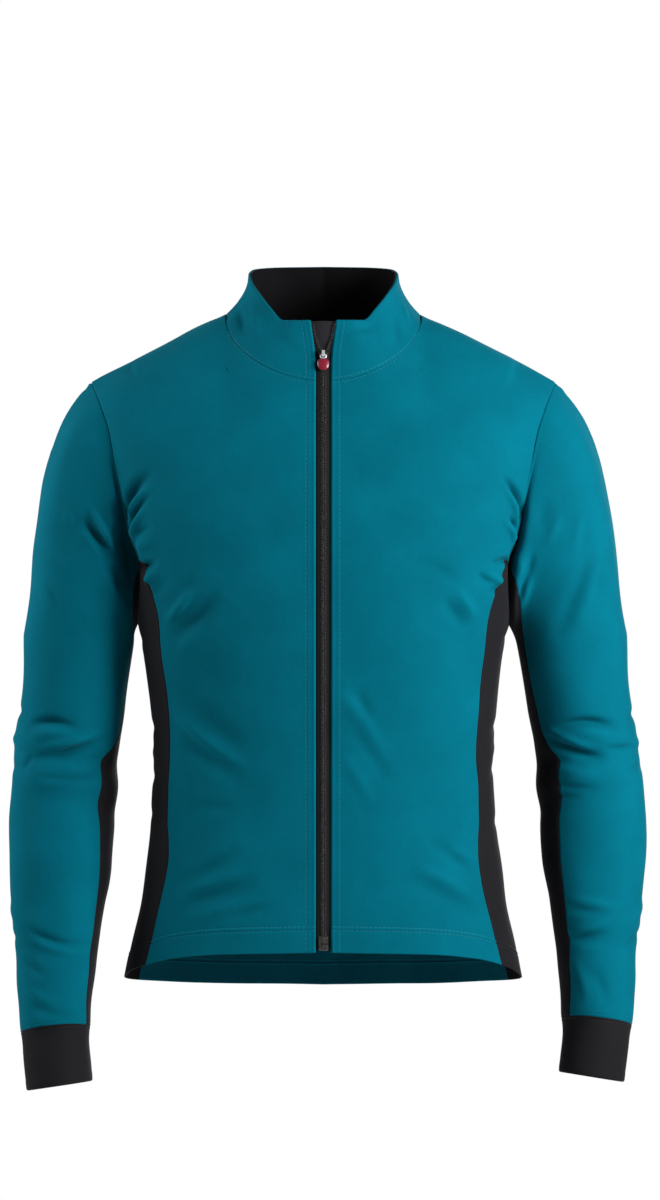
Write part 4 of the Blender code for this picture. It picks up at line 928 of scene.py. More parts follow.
        (0, 3, -0.0480, -0.3620, 0.0540, -0.3700, 0.05, 6.5, -1.0, 0.0, 0.50, 1.0),
        (0, 3, -0.0440, -0.3980, 0.0560, -0.4080, -0.05, 6.5, -1.0, 0.0, 0.50, 1.0),
        (0, 3, -0.0460, -0.3800, 0.0500, -0.3900, 0.00, 5.5, 0.7, 0.0, 0.50, 1.0),
        (0, 3, -0.0360, -0.4400, 0.0520, -0.4520, 0.05, 6.0, -0.7, 0.0, 0.50, 1.0),
        (0, 3, -0.0420, -0.2860, 0.0360, -0.2800, 0.06, 6.0, -0.8, 0.0, 0.50, 1.0),
        # the sleeves from outside and behind
        (1, 2, -0.0300, -0.3620, 0.0330, -0.3500, 0.10, 5.5, -1.6, 0.0, 0.35, 1.0),
        (1, 2, -0.0340, -0.3840, 0.0300, -0.3760, 0.08, 5.0, 1.2, 0.0, 0.40, 1.0),
        (1, 2, -0.0350, -0.4020, 0.0120, -0.3980, 0.06, 5.0, -1.4, 0.0, 0.35, 1.0),
        (1, 2, -0.0500, -0.5380, 0.0060, -0.5220, 0.08, 5.5, 1.1, 0.0, 0.35, 1.0),
        (1, 2, -0.0560, -0.5600, 0.0000, -0.5480, 0.08, 5.0, -1.2, 0.0, 0.35, 1.0),
        (2, 3, -0.0320, -0.3580, 0.0300, -0.3480, 0.10, 5.5, -1.7, 0.0, 0.35, 1.0),
        (2, 3, -0.0340, -0.3800, 0.0320, -0.3740, 0.08, 5.0, 1.2, 0.0, 0.40, 1.0),
        (2, 3, -0.0360, -0.4000, 0.0140, -0.3990, 0.06, 5.0, -1.3, 0.0, 0.35, 1.0),
        (2, 3, -0.0500, -0.5420, 0.0040, -0.5240, 0.08, 5.5, 1.1, 0.0, 0.35, 1.0),
        (2, 3, -0.0560, -0.5640, -0.0020, -0.5500, 0.08, 5.0, -1.2, 0.0, 0.35, 1.0),
        (1, 1, 0.2020, -0.3560, 0.2600, -0.3700, 0.08, 6.5, -2.2, 0.0, 0.45, 1.0),
        (1, 1, 0.2000, -0.3840, 0.2640, -0.3900, 0.06, 6.0, 1.6, 0.0, 0.45, 1.0),
        (1, 1, 0.2060, -0.4080, 0.2700, -0.4040, -0.06, 6.0, -2.0, 0.0, 0.45, 1.0),
        (1, 1, 0.2080, -0.4300, 0.2620, -0.4320, -0.06, 5.5, 1.1, 0.0, 0.45, 1.0),
        (1, 1, 0.1960, -0.2200, 0.2180, -0.1600, 0.10, 6.5, -1.9, 0.0, 0.35, 1.4),
        (1, 1, 0.2080, -0.2500, 0.2380, -0.1850, 0.08, 7.0, 1.3, 0.0, 0.40, 1.3),
        (1, 1, 0.2100, -0.2900, 0.2420, -0.2300, 0.06, 8.0, -1.4, 0.0, 0.45, 1.2),
        (1, 1, 0.2240, -0.5300, 0.2680, -0.5440, 0.06, 5.5, -1.4, 0.0, 0.45, 1.0),
        (1, 1, 0.2240, -0.5500, 0.2680, -0.5620, 0.06, 5.5, 1.2, 0.0, 0.45, 1.0),
        (1, 1, 0.2240, -0.5900, 0.2640, -0.6010, 0.06, 5.0, -1.1, 0.0, 0.45, 1.0),
        (2, 1, -0.2040, -0.3520, -0.2620, -0.3680, -0.08, 6.5, -2.3, 0.0, 0.45, 1.0),
        (2, 1, -0.2000, -0.3780, -0.2600, -0.3880, -0.06, 6.0, 1.6, 0.0, 0.45, 1.0),
        (2, 1, -0.2050, -0.4060, -0.2680, -0.4080, 0.06, 6.0, -1.9, 0.0, 0.45, 1.0),
        (2, 1, -0.2090, -0.4280, -0.2630, -0.4340, 0.06, 5.5, 1.1, 0.0, 0.45, 1.0),
        (2, 1, -0.1950, -0.2160, -0.2160, -0.1560, -0.10, 6.5, -2.0, 0.0, 0.35, 1.4),
        (2, 1, -0.2060, -0.2460, -0.2380, -0.1820, -0.08, 7.0, 1.3, 0.0, 0.40, 1.3),
        (2, 1, -0.2100, -0.2860, -0.2400, -0.2260, -0.06, 8.0, -1.3, 0.0, 0.45, 1.2),
        (2, 1, -0.2240, -0.5260, -0.2680, -0.5420, -0.06, 5.5, -1.4, 0.0, 0.45, 1.0),
        (2, 1, -0.2240, -0.5480, -0.2670, -0.5610, -0.06, 5.5, 1.2, 0.0, 0.45, 1.0),
        (2, 1, -0.2250, -0.5880, -0.2640, -0.6000, -0.06, 5.0, -1.1, 0.0, 0.45, 1.0),
    ],
)
# The valley between the body and each arm, from the top down. Its sharp edge is on the body's side, seen from the
# front, and each side has its own depth and width, in millimetres.
VALLEY = table(
    "x z left_deep left_wide right_deep right_wide",
    [
        (0.1915, -0.1050, 0.0, 3.0, 0.0, 3.0),
        (0.1868, -0.1260, 1.5, 3.0, 2.5, 4.0),
        (0.1807, -0.1530, 5.0, 3.5, 8.0, 6.0),
        (0.1763, -0.1740, 11.0, 4.5, 15.0, 10.0),
        (0.1722, -0.1900, 17.0, 5.5, 22.0, 14.0),
        (0.1655, -0.2080, 22.0, 6.5, 27.0, 18.0),
        (0.1648, -0.2260, 18.0, 5.5, 24.0, 16.0),
        (0.1660, -0.2420, 10.0, 4.5, 15.0, 12.0),
        (0.1680, -0.2600, 3.0, 4.0, 5.0, 8.0),
        (0.1690, -0.2780, 0.0, 4.0, 0.0, 5.0),
    ],
)
VALLEY_STEP = 0.0038  # how far the edge's steep side reaches
VALLEY_BEHIND = 0.55  # how deep it is at the back, against the front
# The cloth's slow unevenness: waves by their way in space, in turns per metre, their start and height.
WAVES = table(
    "x y z start tall",
    [
        (7.1, 2.3, 4.2, 0.3, 0.00032),
        (-5.2, 3.1, 9.0, 1.9, 0.00030),
        (11.3, -4.0, 6.1, 4.1, 0.00026),
        (-9.4, 6.0, 13.5, 2.6, 0.00022),
        (3.0, 8.2, -16.0, 5.2, 0.00018),
        (17.0, 5.0, 11.0, 0.9, 0.00014),
    ],
)


def skin_points(skin):
    parts = [c for c in Cloth.all.values() if c.skin == skin]
    return (
        np.concatenate([c.flat_grid.reshape(-1, 3) for c in parts]),
        np.concatenate([c.n.reshape(-1, 3) for c in parts]),
    )


def find_on(skin, view, a, z):
    """The points and normals of a skin at places seen from one of four ways."""
    points, ns = SKINS[skin]
    deep, across = (1, 0) if view < 2 else (0, 1)
    facing = ns[:, deep] * (-1 if view in (0, 3) else 1)
    seen = facing > 0.12
    points, ns = points[seen], ns[seen]
    out_p, out_n = [], []
    for ai, zi in zip(a, z):
        k = int(np.argmin((points[:, across] - ai) ** 2 + (points[:, 2] - zi) ** 2))
        p, n = points[k].copy(), ns[k]
        da, dz = ai - p[across], zi - p[2]
        if math.hypot(da, dz) < 0.006:
            p[deep] -= (n[across] * da + n[2] * dz) / (n[deep] if abs(n[deep]) > 0.25 else math.copysign(0.25, n[deep]))
            p[across], p[2] = ai, zi
        out_p.append(p)
        out_n.append(n)
    return np.array(out_p), np.array(out_n)


def soft(t):
    t = np.clip(t, 0, 1)
    return t * t * (3 - 2 * t)


def crease_paths():
    out = []
    t = np.linspace(0, 1, 13)
    for row in zip(*CREASES.values()):
        skin, view, a0, z0, a1, z1, bow, wide, deep, lean, head, flare = row
        a, z = a0 + (a1 - a0) * t, z0 + (z1 - z0) * t
        arc = 4 * t * (1 - t) * bow
        a, z = a - (z1 - z0) * arc, z + (a1 - a0) * arc
        points, ns = find_on(int(skin), int(view), a, z)
        for _ in range(2):
            points[1:-1] = 0.25 * points[:-2] + 0.5 * points[1:-1] + 0.25 * points[2:]
        out.append((points, unit(ns), wide / 1000, deep / 1000, lean, head, flare))
    return out


def crease_height(p, n, paths):
    """How far creases move each point along its normal."""
    out = np.zeros(len(p))
    for path, path_n, wide, deep, lean, head, flare in paths:
        reach = wide * max(1.0, flare) * (1 + abs(lean)) * 2.4
        near = np.flatnonzero(((p > path.min(0) - reach) & (p < path.max(0) + reach)).all(1))
        if not len(near):
            continue
        a, ab = path[:-1], np.diff(path, axis=0)
        ap = p[near][:, None] - a[None]
        t = np.clip((ap * ab).sum(2) / np.maximum((ab**2).sum(1), 1e-12), 0, 1)
        gap = ap - t[..., None] * ab[None]
        far = (gap**2).sum(2)
        s = far.argmin(1)
        pick = np.arange(len(near))
        share = (s + t[pick, s]) / len(ab)
        d = np.sqrt(far[pick, s])
        side_of = np.sign((np.cross(n[near], ab[s]) * gap[pick, s]).sum(1))
        q = d / (wide * (1 + (flare - 1) * share) * (1 + lean * side_of))
        form = (1 - 0.38 * q * q) * np.exp(-0.95 * q * q)
        taper = np.where(share < head, soft(share / head), soft((1 - share) / (1 - head))) ** 0.6
        agree = soft(((n[near] * path_n[s]).sum(1) - 0.05) / 0.55)
        out[near] += 1.5 * deep * form * taper * agree
    return out


def valley_depth(p, n):
    """How far the valleys push each point back, or forward where it faces behind."""
    out = np.zeros(len(p))
    for side, name in ((1, "left"), (-1, "right")):
        columns = [VALLEY["x"] * side, VALLEY["z"], VALLEY[name + "_deep"] * MM, VALLEY[name + "_wide"] * MM]
        path = along(np.stack(columns, axis=1), 60)
        line, ab = path[:, :2], np.diff(path[:, :2], axis=0)
        near = np.flatnonzero((p[:, 0] * side > 0.10) & (p[:, 2] > -0.30) & (p[:, 2] < -0.09))
        ap = p[near][:, None, [0, 2]] - line[None, :-1]
        t = np.clip((ap * ab).sum(2) / (ab**2).sum(1), 0, 1)
        gap = ap - t[..., None] * ab
        k = (gap**2).sum(2).argmin(1)
        pick = np.arange(len(near))
        outside = (ab[k, 0] * ap[pick, k, 1] - ab[k, 1] * ap[pick, k, 0]) * side > 0
        d = np.linalg.norm(gap[pick, k], axis=1) * np.where(outside, 1, -1)
        deep, wide = (path[k, c] * (1 - t[pick, k]) + path[k + 1, c] * t[pick, k] for c in (2, 3))
        far = np.maximum(d - 0.45 * wide, 0) / (0.75 * wide)
        front, behind = soft((0.15 - n[near, 1]) / 0.5), soft((n[near, 1] + 0.15) / 0.5)
        out[near] = deep * soft((d + 0.0008) / VALLEY_STEP) * np.exp(-(far**2)) * (front - VALLEY_BEHIND * behind)
    return out


def slow_waves(p):
    out = np.zeros(len(p))
    for x, y, z, start, tall in zip(*WAVES.values()):
        out += tall * np.sin(2 * math.pi * (p @ np.array([x, y, z])) + start)
    return out


SKINS = {k: skin_points(k) for k in (BODY, LEFT_ARM, RIGHT_ARM, NECK)}
PATHS = crease_paths()
for c in Cloth.all.values():
    flat_p, flat_n = c.grid.reshape(-1, 3), c.n.reshape(-1, 3)
    c.crease_and_painted_shade = (crease_height(flat_p, flat_n, PATHS) + slow_waves(flat_p)).reshape(c.grid.shape[:2])
    back_by = valley_depth(flat_p, flat_n) if c.skin != NECK else np.zeros(len(flat_p))
    c.valley = back_by.reshape(c.grid.shape[:2])
for group in MEETINGS:
    crease_and_painted_shade = sum(c.crease_and_painted_shade[i, j] for c, i, j in group) / len(group)
    valley = sum(c.valley[i, j] for c, i, j in group) / len(group)
    for c, i, j in group:
        c.crease_and_painted_shade[i, j], c.valley[i, j] = crease_and_painted_shade, valley
for c in Cloth.all.values():
    c.grid = c.grid + c.n * c.crease_and_painted_shade[..., None] + c.valley[..., None] * np.array([0.0, 1.0, 0.0])
    # From here on the crease values also carry the valleys' depth, so the cloth's colour gets painted shade there.
    c.crease_and_painted_shade = c.crease_and_painted_shade - 0.6 * np.abs(c.valley)
    c.n = normals(c.grid, c.closed) * c.turned
share_seams(MEETINGS)


# ---------------------------------------------------------------- materials
def shader_of(name, colour, roughness, **sockets):
    mat = bpy.data.materials.new(name)
    mat.use_nodes = True
    shader = mat.node_tree.nodes["Principled BSDF"]
    shader.inputs["Base Color"].default_value = (*colour, 1.0)
    shader.inputs["Roughness"].default_value = roughness
    for key, value in sockets.items():
        shader.inputs[key.replace("_", " ")].default_value = value
    mat.diffuse_color = (*colour, 1.0)
    return mat, mat.node_tree, shader


def noise(tree, vector, scale, detail, rough=0.5):
    node = tree.nodes.new("ShaderNodeTexNoise")
    node.inputs["Scale"].default_value = scale
    node.inputs["Detail"].default_value = detail
    node.inputs["Roughness"].default_value = rough
    tree.links.new(vector, node.inputs["Vector"])
    return node.outputs["Fac"]


def spread(tree, value, low, high, to_low, to_high):
    node = tree.nodes.new("ShaderNodeMapRange")
    for key, v in (("From Min", low), ("From Max", high), ("To Min", to_low), ("To Max", to_high)):
        node.inputs[key].default_value = v
    tree.links.new(value, node.inputs["Value"])
    return node.outputs["Result"]


def math_of(tree, kind, a, b):
    node = tree.nodes.new("ShaderNodeMath")
    node.operation = kind
    tree.links.new(a, node.inputs[0])
    tree.links.new(b, node.inputs[1])
    return node.outputs[0]


def scaled(tree, colour, factor):
    node = tree.nodes.new("ShaderNodeVectorMath")
    node.operation = "SCALE"
    node.inputs[0].default_value = colour
    tree.links.new(factor, node.inputs["Scale"])
    return node.outputs[0]


def bumped(tree, shader, value, strength, distance):
    node = tree.nodes.new("ShaderNodeBump")
    node.inputs["Strength"].default_value = strength
    node.inputs["Distance"].default_value = distance
    tree.links.new(value, node.inputs["Height"])
    tree.links.new(node.outputs["Normal"], shader.inputs["Normal"])


def cloth_material(name, colour, roughness, mottle, fuzz, **sockets):
    """A knitted face: slow mottling, a fine heather, painted shade that darkens crease troughs and, much more, the
    valleys under the arms, and a soft uneven face.
    """
    mat, tree, shader = shader_of(name, colour, roughness, **sockets)
    place = tree.nodes.new("ShaderNodeTexCoord").outputs["Object"]
    slow = spread(tree, noise(tree, place, 38.0, 4.0, 0.6), 0.3, 0.7, 1 - mottle, 1 + mottle)
    fine = spread(tree, noise(tree, place, 900.0, 2.0), 0.3, 0.7, 0.95, 1.05)
    # Painted shade: the stored crease depth darkens the colour in troughs, lightens it a little on ridges, and darkens
    # it to about a third in the deep valleys.
    painted_crease_shade = tree.nodes.new("ShaderNodeAttribute")
    painted_crease_shade.attribute_name = "painted_crease_shade"
    painted_trough_shade = spread(tree, painted_crease_shade.outputs["Fac"], -1.0, 0.5, 0.84, 1.03)
    valley = spread(tree, painted_crease_shade.outputs["Fac"], -4.0, -1.0, 0.35, 1.0)
    factor = math_of(tree, "MULTIPLY", math_of(tree, "MULTIPLY", slow, fine), math_of(tree, "MULTIPLY", painted_trough_shade, valley))
    tree.links.new(scaled(tree, colour, factor), shader.inputs["Base Color"])
    grain = noise(tree, place, 620.0, 3.0, 0.65)
    lumps = noise(tree, place, 95.0, 3.0, 0.5)
    both = math_of(tree, "ADD", grain, lumps)
    bumped(tree, shader, both, fuzz, 0.00035)
    return mat


def plain_material(name, colour, roughness, grain=0.0, scale=900.0, **sockets):
    mat, tree, shader = shader_of(name, colour, roughness, **sockets)
    place = tree.nodes.new("ShaderNodeTexCoord").outputs["Object"]
    value = noise(tree, place, scale, 3.0)
    tree.links.new(scaled(tree, colour, spread(tree, value, 0.3, 0.7, 1 - grain, 1 + grain)), shader.inputs["Base Color"])
    bumped(tree, shader, value, 0.15, 0.0002)
    return mat


TEAL = (0.0006, 0.147, 0.212)
BLACK = (0.0125, 0.0125, 0.0148)
MATERIALS = {
    "teal_cloth": cloth_material(
        "teal_cloth_face", TEAL, 0.86, 0.05, 0.35, Specular_IOR_Level=0.025, Sheen_Weight=0.20, Sheen_Roughness=0.30,
        Sheen_Tint=(0.20, 0.80, 0.92, 1.0),
    ),
    "teal_fleece": cloth_material("teal_fleece", (0.002, 0.075, 0.110), 0.95, 0.08, 0.8, Specular_IOR_Level=0.03),
    "black_cloth": cloth_material(
        "black_cloth_face", BLACK, 0.80, 0.06, 0.35, Specular_IOR_Level=0.12, Sheen_Weight=0.07, Sheen_Roughness=0.35,
        Sheen_Tint=(0.9, 0.9, 1.0, 1.0),
    ),
    "black_inside": cloth_material("black_inside", (0.008, 0.008, 0.009), 0.95, 0.06, 0.6, Specular_IOR_Level=0.03),
    "flap_cloth": cloth_material(
        "flap_cloth", (0.021, 0.020, 0.025), 0.85, 0.06, 0.4, Specular_IOR_Level=0.12, Sheen_Weight=0.08
    ),
    # The tape's strip at the cloth's edge is coloured darker than its face: painted shadow under the overhanging edge.
    "black_tape": plain_material("tape_edge_painted_shade", (0.006, 0.007, 0.008), 0.8, 0.1, Specular_IOR_Level=0.1),
    "tape_face": plain_material("tape_face", (0.0110, 0.0115, 0.0105), 0.7, 0.45, 700.0, Specular_IOR_Level=0.22),
    "black_coil": plain_material("coil_nylon", (0.036, 0.038, 0.036), 0.26, 0.70, 520.0, Specular_IOR_Level=0.8),
    "stop_metal": plain_material("stop_nylon", (0.040, 0.040, 0.037), 0.24, 0.7, 420.0, Specular_IOR_Level=0.9),
    "black_lacquer": plain_material("lacquer", (0.010, 0.010, 0.011), 0.28, 0.1, Specular_IOR_Level=0.5),
    "steel": plain_material("polished_steel", (0.92, 0.92, 0.93), 0.24, 0.04, Metallic=0.55, Specular_IOR_Level=0.9),
    "red_rubber": plain_material(
        "red_rubber_face", (0.25, 0.009, 0.030), 0.30, 0.15, 300.0, Specular_IOR_Level=0.6, Coat_Weight=0.6, Coat_Roughness=0.26
    ),
    "teal_thread": plain_material("teal_thread", (0.012, 0.250, 0.330), 0.6, 0.1, Specular_IOR_Level=0.25),
    "dark_thread": plain_material("dark_thread", (0.030, 0.030, 0.033), 0.6, 0.1, Specular_IOR_Level=0.25),
}


# ---------------------------------------------------------------- edges
HEM_ROWS = (0.0196, 0.0229)  # the hem's two rows of stitches, up from its edge
PLACKET_ROW = 0.0082  # the row beside the zip
COLLAR_ROW, NECK_ROW = 0.0024, 0.0024  # the rows on both sides of the collar's seam
CUFF_ROW = 0.0026


def dip(d, at_d, wide, deep):
    return deep * np.exp(-(((d - at_d) / wide) ** 2))


def seam_edge(d):
    return dip(d, 0, 0.65 * MM, -0.50 * MM) + dip(d, 2.2 * MM, 1.4 * MM, 0.14 * MM)


def sewn_edge(row):
    def edge(d):
        return seam_edge(d) + dip(d, row, 0.5 * MM, -0.30 * MM)

    return edge


def hem_edge(d):
    doubled = 0.55 * MM * (1 - soft((d - 22.4 * MM) / (1.8 * MM)))
    return doubled + sum(dip(d, row, 0.55 * MM, -0.60 * MM) for row in HEM_ROWS)


def zip_edge(d):
    doubled = 0.30 * MM * (1 - soft((d - 8.4 * MM) / (1.4 * MM)))
    rolled = 0.40 * MM * np.exp(-(((d - 1.5 * MM) / (0.8 * MM)) ** 2)) - 0.9 * MM * np.clip(1 - d / (1.2 * MM), 0, 1) ** 2
    return doubled + rolled + dip(d, PLACKET_ROW, 0.55 * MM, -0.45 * MM)


def turned_edge(d):
    return 0.22 * MM * (1 - soft((d - 6.2 * MM) / (2.4 * MM))) - 0.3 * MM * np.clip(1 - d / (1.0 * MM), 0, 1) ** 2


def plain_edge(d):
    return 0 * d


# How each kind of edge is laid out, in millimetres from it, its height there, and how round its end is.
EDGES = {
    "seam": ((0, 0.35, 0.8, 1.3, 1.9, 2.6, 3.6, 5.0), seam_edge, 0.1),
    "neck": ((0, 0.35, 0.8, 1.3, 1.8, 2.1, 2.4, 2.7, 3.2, 4.2, 5.6), sewn_edge(NECK_ROW), 0.1),
    "cuff_seam": ((0, 0.35, 0.8, 1.3, 1.9, 2.3, 2.6, 2.9, 3.6, 5.0), sewn_edge(CUFF_ROW), 0.1),
    "hem": (
        (0, 0.4, 1.0, 2.0, 4.0, 6.5, 9.0, 11.5, 14.0, 16.5, 18.4, 19.1, 19.6, 20.1, 20.8, 21.6, 22.4, 22.9, 23.4, 24.3, 26.0),
        hem_edge,
        1.0,
    ),
    "zip": ((0, 0.25, 0.6, 1.0, 1.5, 2.1, 3.0, 4.6, 6.0, 7.2, 7.8, 8.2, 8.6, 9.2, 10.2, 11.6), zip_edge, 1.0),
    "turned": ((0, 0.3, 0.7, 1.2, 2.2, 3.6, 5.0, 6.4, 7.6, 9.0), turned_edge, 1.0),
    "plain": ((0, 0.5, 1.2), plain_edge, 1.0),
}


def between(values, f):
    """Values of each row at fractional columns, on a smooth curve through the whole ones."""
    m, n = values.shape[:2]
    i = np.clip(np.floor(f).astype(int), 0, n - 2)
    t = (f - i).reshape(f.shape + (1,) * (values.ndim - 2))
    rows = np.arange(m)[:, None]
    p1, p2 = values[rows, i], values[rows, i + 1]
    p0 = np.where((i == 0).reshape(t.shape), 2 * p1 - p2, values[rows, np.maximum(i - 1, 0)])
    p3 = np.where((i == n - 2).reshape(t.shape), 2 * p2 - p1, values[rows, np.minimum(i + 2, n - 1)])
    return 0.5 * (2 * p1 + (p2 - p0) * t + (2 * p0 - 5 * p1 + 4 * p2 - p3) * t**2 + (3 * p1 - p0 - 3 * p2 + p3) * t**3)


def lay_out(arrays, first, last, cell):
    """Arrays of one grid, first its points, with columns at set distances from both ends and about cell between."""
    grid = arrays[0]
    s = np.concatenate(
        [np.zeros((len(grid), 1)), np.cumsum(np.linalg.norm(np.diff(grid, axis=1), axis=2), axis=1)], axis=1
    )
    whole = s[:, -1:]
    f, g = np.array(first) * MM, np.array(last)[::-1] * MM
    count = max(2, int(round((whole.mean() - f[-1] - g[0]) / cell)))
    share = np.linspace(0, 1, count + 1)[1:-1]
    squeeze = np.minimum(1.0, 0.8 * whole / (f[-1] + g[0] + 1e-9))
    f, g = f[None] * squeeze, g[None] * squeeze
    want = np.concatenate([f, f[:, -1:] + (whole - f[:, -1:] - g[:, :1]) * share[None], whole - g], axis=1)
    index = np.stack([np.interp(want[i], s[i], np.arange(s.shape[1])) for i in range(len(s))])
    return [between(a, index) for a in arrays] + [want, whole - want]


def turn(a):
    return np.swapaxes(a, 0, 1)


class Shell:
    """A piece laid out at its final fineness: its middle surface, normals, edge distances and height."""

    def __init__(self, c, edges, cell, thick, rows=None, cell_up=None):
        self.name, self.thick, self.closed = c.name, thick, c.closed
        low, high, first, last = (EDGES[e] for e in edges)
        arrays = [c.grid, c.n, c.crease_and_painted_shade[..., None]]
        if c.closed:
            arrays = [np.concatenate([a, a[:, :1]], axis=1) for a in arrays]
            g, n, crease_and_painted_shade, d_first, _ = lay_out(arrays, (0,), (0,), cell)
            g, n, crease_and_painted_shade, d_first = g[:, :-1], n[:, :-1], crease_and_painted_shade[:, :-1], d_first[:, :-1]
            d_last = np.full_like(d_first, 1.0)
            self.round_first = self.round_last = 0.0
            side_height = 0.0
        else:
            g, n, crease_and_painted_shade, d_first, d_last = lay_out(arrays, first[0], last[0], cell)
            self.round_first, self.round_last = first[2], last[2]
        arrays = [turn(a) for a in (g, n, crease_and_painted_shade, d_first[..., None], d_last[..., None])]
        g, n, crease_and_painted_shade, d_first, d_last, d_low, d_high = lay_out(arrays, low[0], high[0], cell_up or cell)
        self.g, self.n, self.crease_and_painted_shade = turn(g), unit(turn(n)), turn(crease_and_painted_shade)[..., 0]
        self.d_first, self.d_last = turn(d_first)[..., 0], turn(d_last)[..., 0]
        self.d_low, self.d_high = turn(d_low), turn(d_high)
        self.round_low, self.round_high = low[2], high[2]
        self.height = low[1](self.d_low) + high[1](self.d_high)
        if not c.closed:
            self.height = self.height + first[1](self.d_first) + last[1](self.d_last)

    def mid(self):
        return self.g + self.n * self.height[..., None]

    def outer(self):
        return self.g + self.n * (self.height + self.thick / 2)[..., None]

    def line(self, edge, distance):
        """The outer surface's row or column nearest to a distance from an edge, and its normals."""
        d = {"low": self.d_low, "high": self.d_high, "first": self.d_first, "last": self.d_last}[edge]
        if edge in ("low", "high"):
            i = int(np.argmin(np.abs(d[:, d.shape[1] // 2] - distance)))
            return self.outer()[i], self.n[i]
        j = int(np.argmin(np.abs(d[d.shape[0] // 2] - distance)))
        return self.outer()[:, j], self.n[:, j]


def quads(a, b, c, d):
    return np.stack([a, b, c, d], axis=-1).reshape(-1, 4)


def make_mesh(name, points, faces, materials, kinds=None, uv=None, values=None, smooth_by=50):
    mesh = bpy.data.meshes.new(name)
    mesh.from_pydata(points.tolist(), [], faces if isinstance(faces, list) else faces.tolist())
    for m in materials:
        mesh.materials.append(MATERIALS[m])
    if kinds is not None:
        mesh.polygons.foreach_set("material_index", np.asarray(kinds, np.int32))
    if uv is not None:
        corner = np.empty(len(mesh.loops), np.int32)
        mesh.loops.foreach_get("vertex_index", corner)
        layer = mesh.uv_layers.new(name="cloth")
        layer.data.foreach_set("uv", uv[corner].astype(np.float32).reshape(-1))
    for key, value in (values or {}).items():
        mesh.attributes.new(key, "FLOAT", "POINT").data.foreach_set("value", value.astype(np.float32))
    mesh.shade_smooth()
    mesh.update()
    mesh.set_sharp_from_angle(angle=math.radians(smooth_by))
    obj = bpy.data.objects.new(name, mesh)
    bpy.context.scene.collection.objects.link(obj)
    return obj


def build_shell(shell, outside, inside):
    """The piece as a closed thin wall: outer face, inner face and rounded edges."""
    g, nn, h = shell.g, shell.n, shell.height
    m, n = h.shape
    outer = shell.outer().reshape(-1, 3)
    inner = (g + nn * (h - shell.thick / 2)[..., None]).reshape(-1, 3)
    at_ = np.arange(m * n).reshape(m, n)
    nxt = np.roll(at_, -1, axis=1) if shell.closed else at_
    if shell.closed:
        a, b, c_, d = at_[:-1], nxt[:-1], nxt[1:], at_[1:]
    else:
        a, b, c_, d = at_[:-1, :-1], at_[:-1, 1:], at_[1:, 1:], at_[1:, :-1]
    outer_faces = quads(a, b, c_, d)
    inner_faces = quads(a, d, c_, b) + m * n
    # borders as loops of (place, outward way, roundness)
    away = np.zeros_like(g)
    push = np.zeros((m, n))
    mid = shell.mid()

    def edge(sl, inner_sl, r):
        way = unit(mid[sl] - mid[inner_sl])
        away[sl] += way * max(r, 1e-3)
        push[sl] = np.maximum(push[sl], r)

    edge((0, slice(None)), (1, slice(None)), shell.round_low)
    edge((-1, slice(None)), (-2, slice(None)), shell.round_high)
    if not shell.closed:
        edge((slice(None), 0), (slice(None), 1), shell.round_first)
        edge((slice(None), -1), (slice(None), -2), shell.round_last)
    away = unit(away)
    if shell.closed:
        loops = [(at_[0], True, False), (at_[-1], True, True)]
    else:
        loop = np.concatenate([at_[0, :], at_[1:, -1], at_[-1, -2::-1], at_[-2:0:-1, 0]])
        loops = [(loop, True, False)]
    points, faces, uv_extra, val_extra = [outer, inner], [outer_faces, inner_faces], [], []
    base = 2 * m * n
    kinds = [np.zeros(len(outer_faces)), np.ones(len(inner_faces))]
    centre, ways, r = mid.reshape(-1, 3), away.reshape(-1, 3), push.reshape(-1)
    ns = nn.reshape(-1, 3)
    extra_index = []
    for loop, _, other in loops:
        k = len(loop)
        rings = [loop]
        for angle in (50, 0, -50):
            c0, s0 = math.cos(math.radians(angle)), math.sin(math.radians(angle))
            pts = centre[loop] + shell.thick / 2 * (ns[loop] * s0 + ways[loop] * (c0 * r[loop])[:, None])
            points.append(pts)
            rings.append(base + np.arange(k))
            extra_index.append(loop)
            base += k
        rings.append(loop + m * n)
        for p, q in zip(rings[:-1], rings[1:]):
            p1, q1 = np.roll(p, -1), np.roll(q, -1)
            f = quads(p, q, q1, p1)
            if other:
                f = f[:, ::-1]
            faces.append(f)
            kinds.append(np.zeros(len(f)))
    points = np.concatenate(points)
    faces = np.concatenate(faces)
    kinds = np.concatenate(kinds)
    if shell_turned(shell):
        faces = faces[:, ::-1]
    s = np.concatenate([np.zeros((m, 1)), np.cumsum(np.linalg.norm(np.diff(g, axis=1), axis=2), axis=1)], axis=1)
    u = s - s.mean(axis=1, keepdims=True)
    t = np.concatenate([np.zeros((1, n)), np.cumsum(np.linalg.norm(np.diff(g, axis=0), axis=2), axis=0)])
    v = np.broadcast_to(t.mean(axis=1, keepdims=True), u.shape)
    uv = np.stack([u, v], axis=-1).reshape(-1, 2)
    index = np.concatenate([np.arange(m * n), np.arange(m * n)] + extra_index)
    # The crease depth in steps of 3 mm, kept on each point for the material's painted shade.
    painted_crease_shade = np.clip(shell.crease_and_painted_shade.reshape(-1)[index] / (3 * MM), -4, 1)
    return make_mesh(
        shell.name + "_cloth", points, faces, [outside, inside], kinds.astype(int), uv[index], {"painted_crease_shade": painted_crease_shade}, 60
    )


def shell_turned(shell):
    """Whether the grid's own winding faces inwards."""
    i, j = shell.g.shape[0] // 2, shell.g.shape[1] // 2
    du, dv = shell.g[i, j + 1] - shell.g[i, j], shell.g[i + 1, j] - shell.g[i, j]
    return np.dot(np.cross(du, dv), shell.n[i, j]) < 0


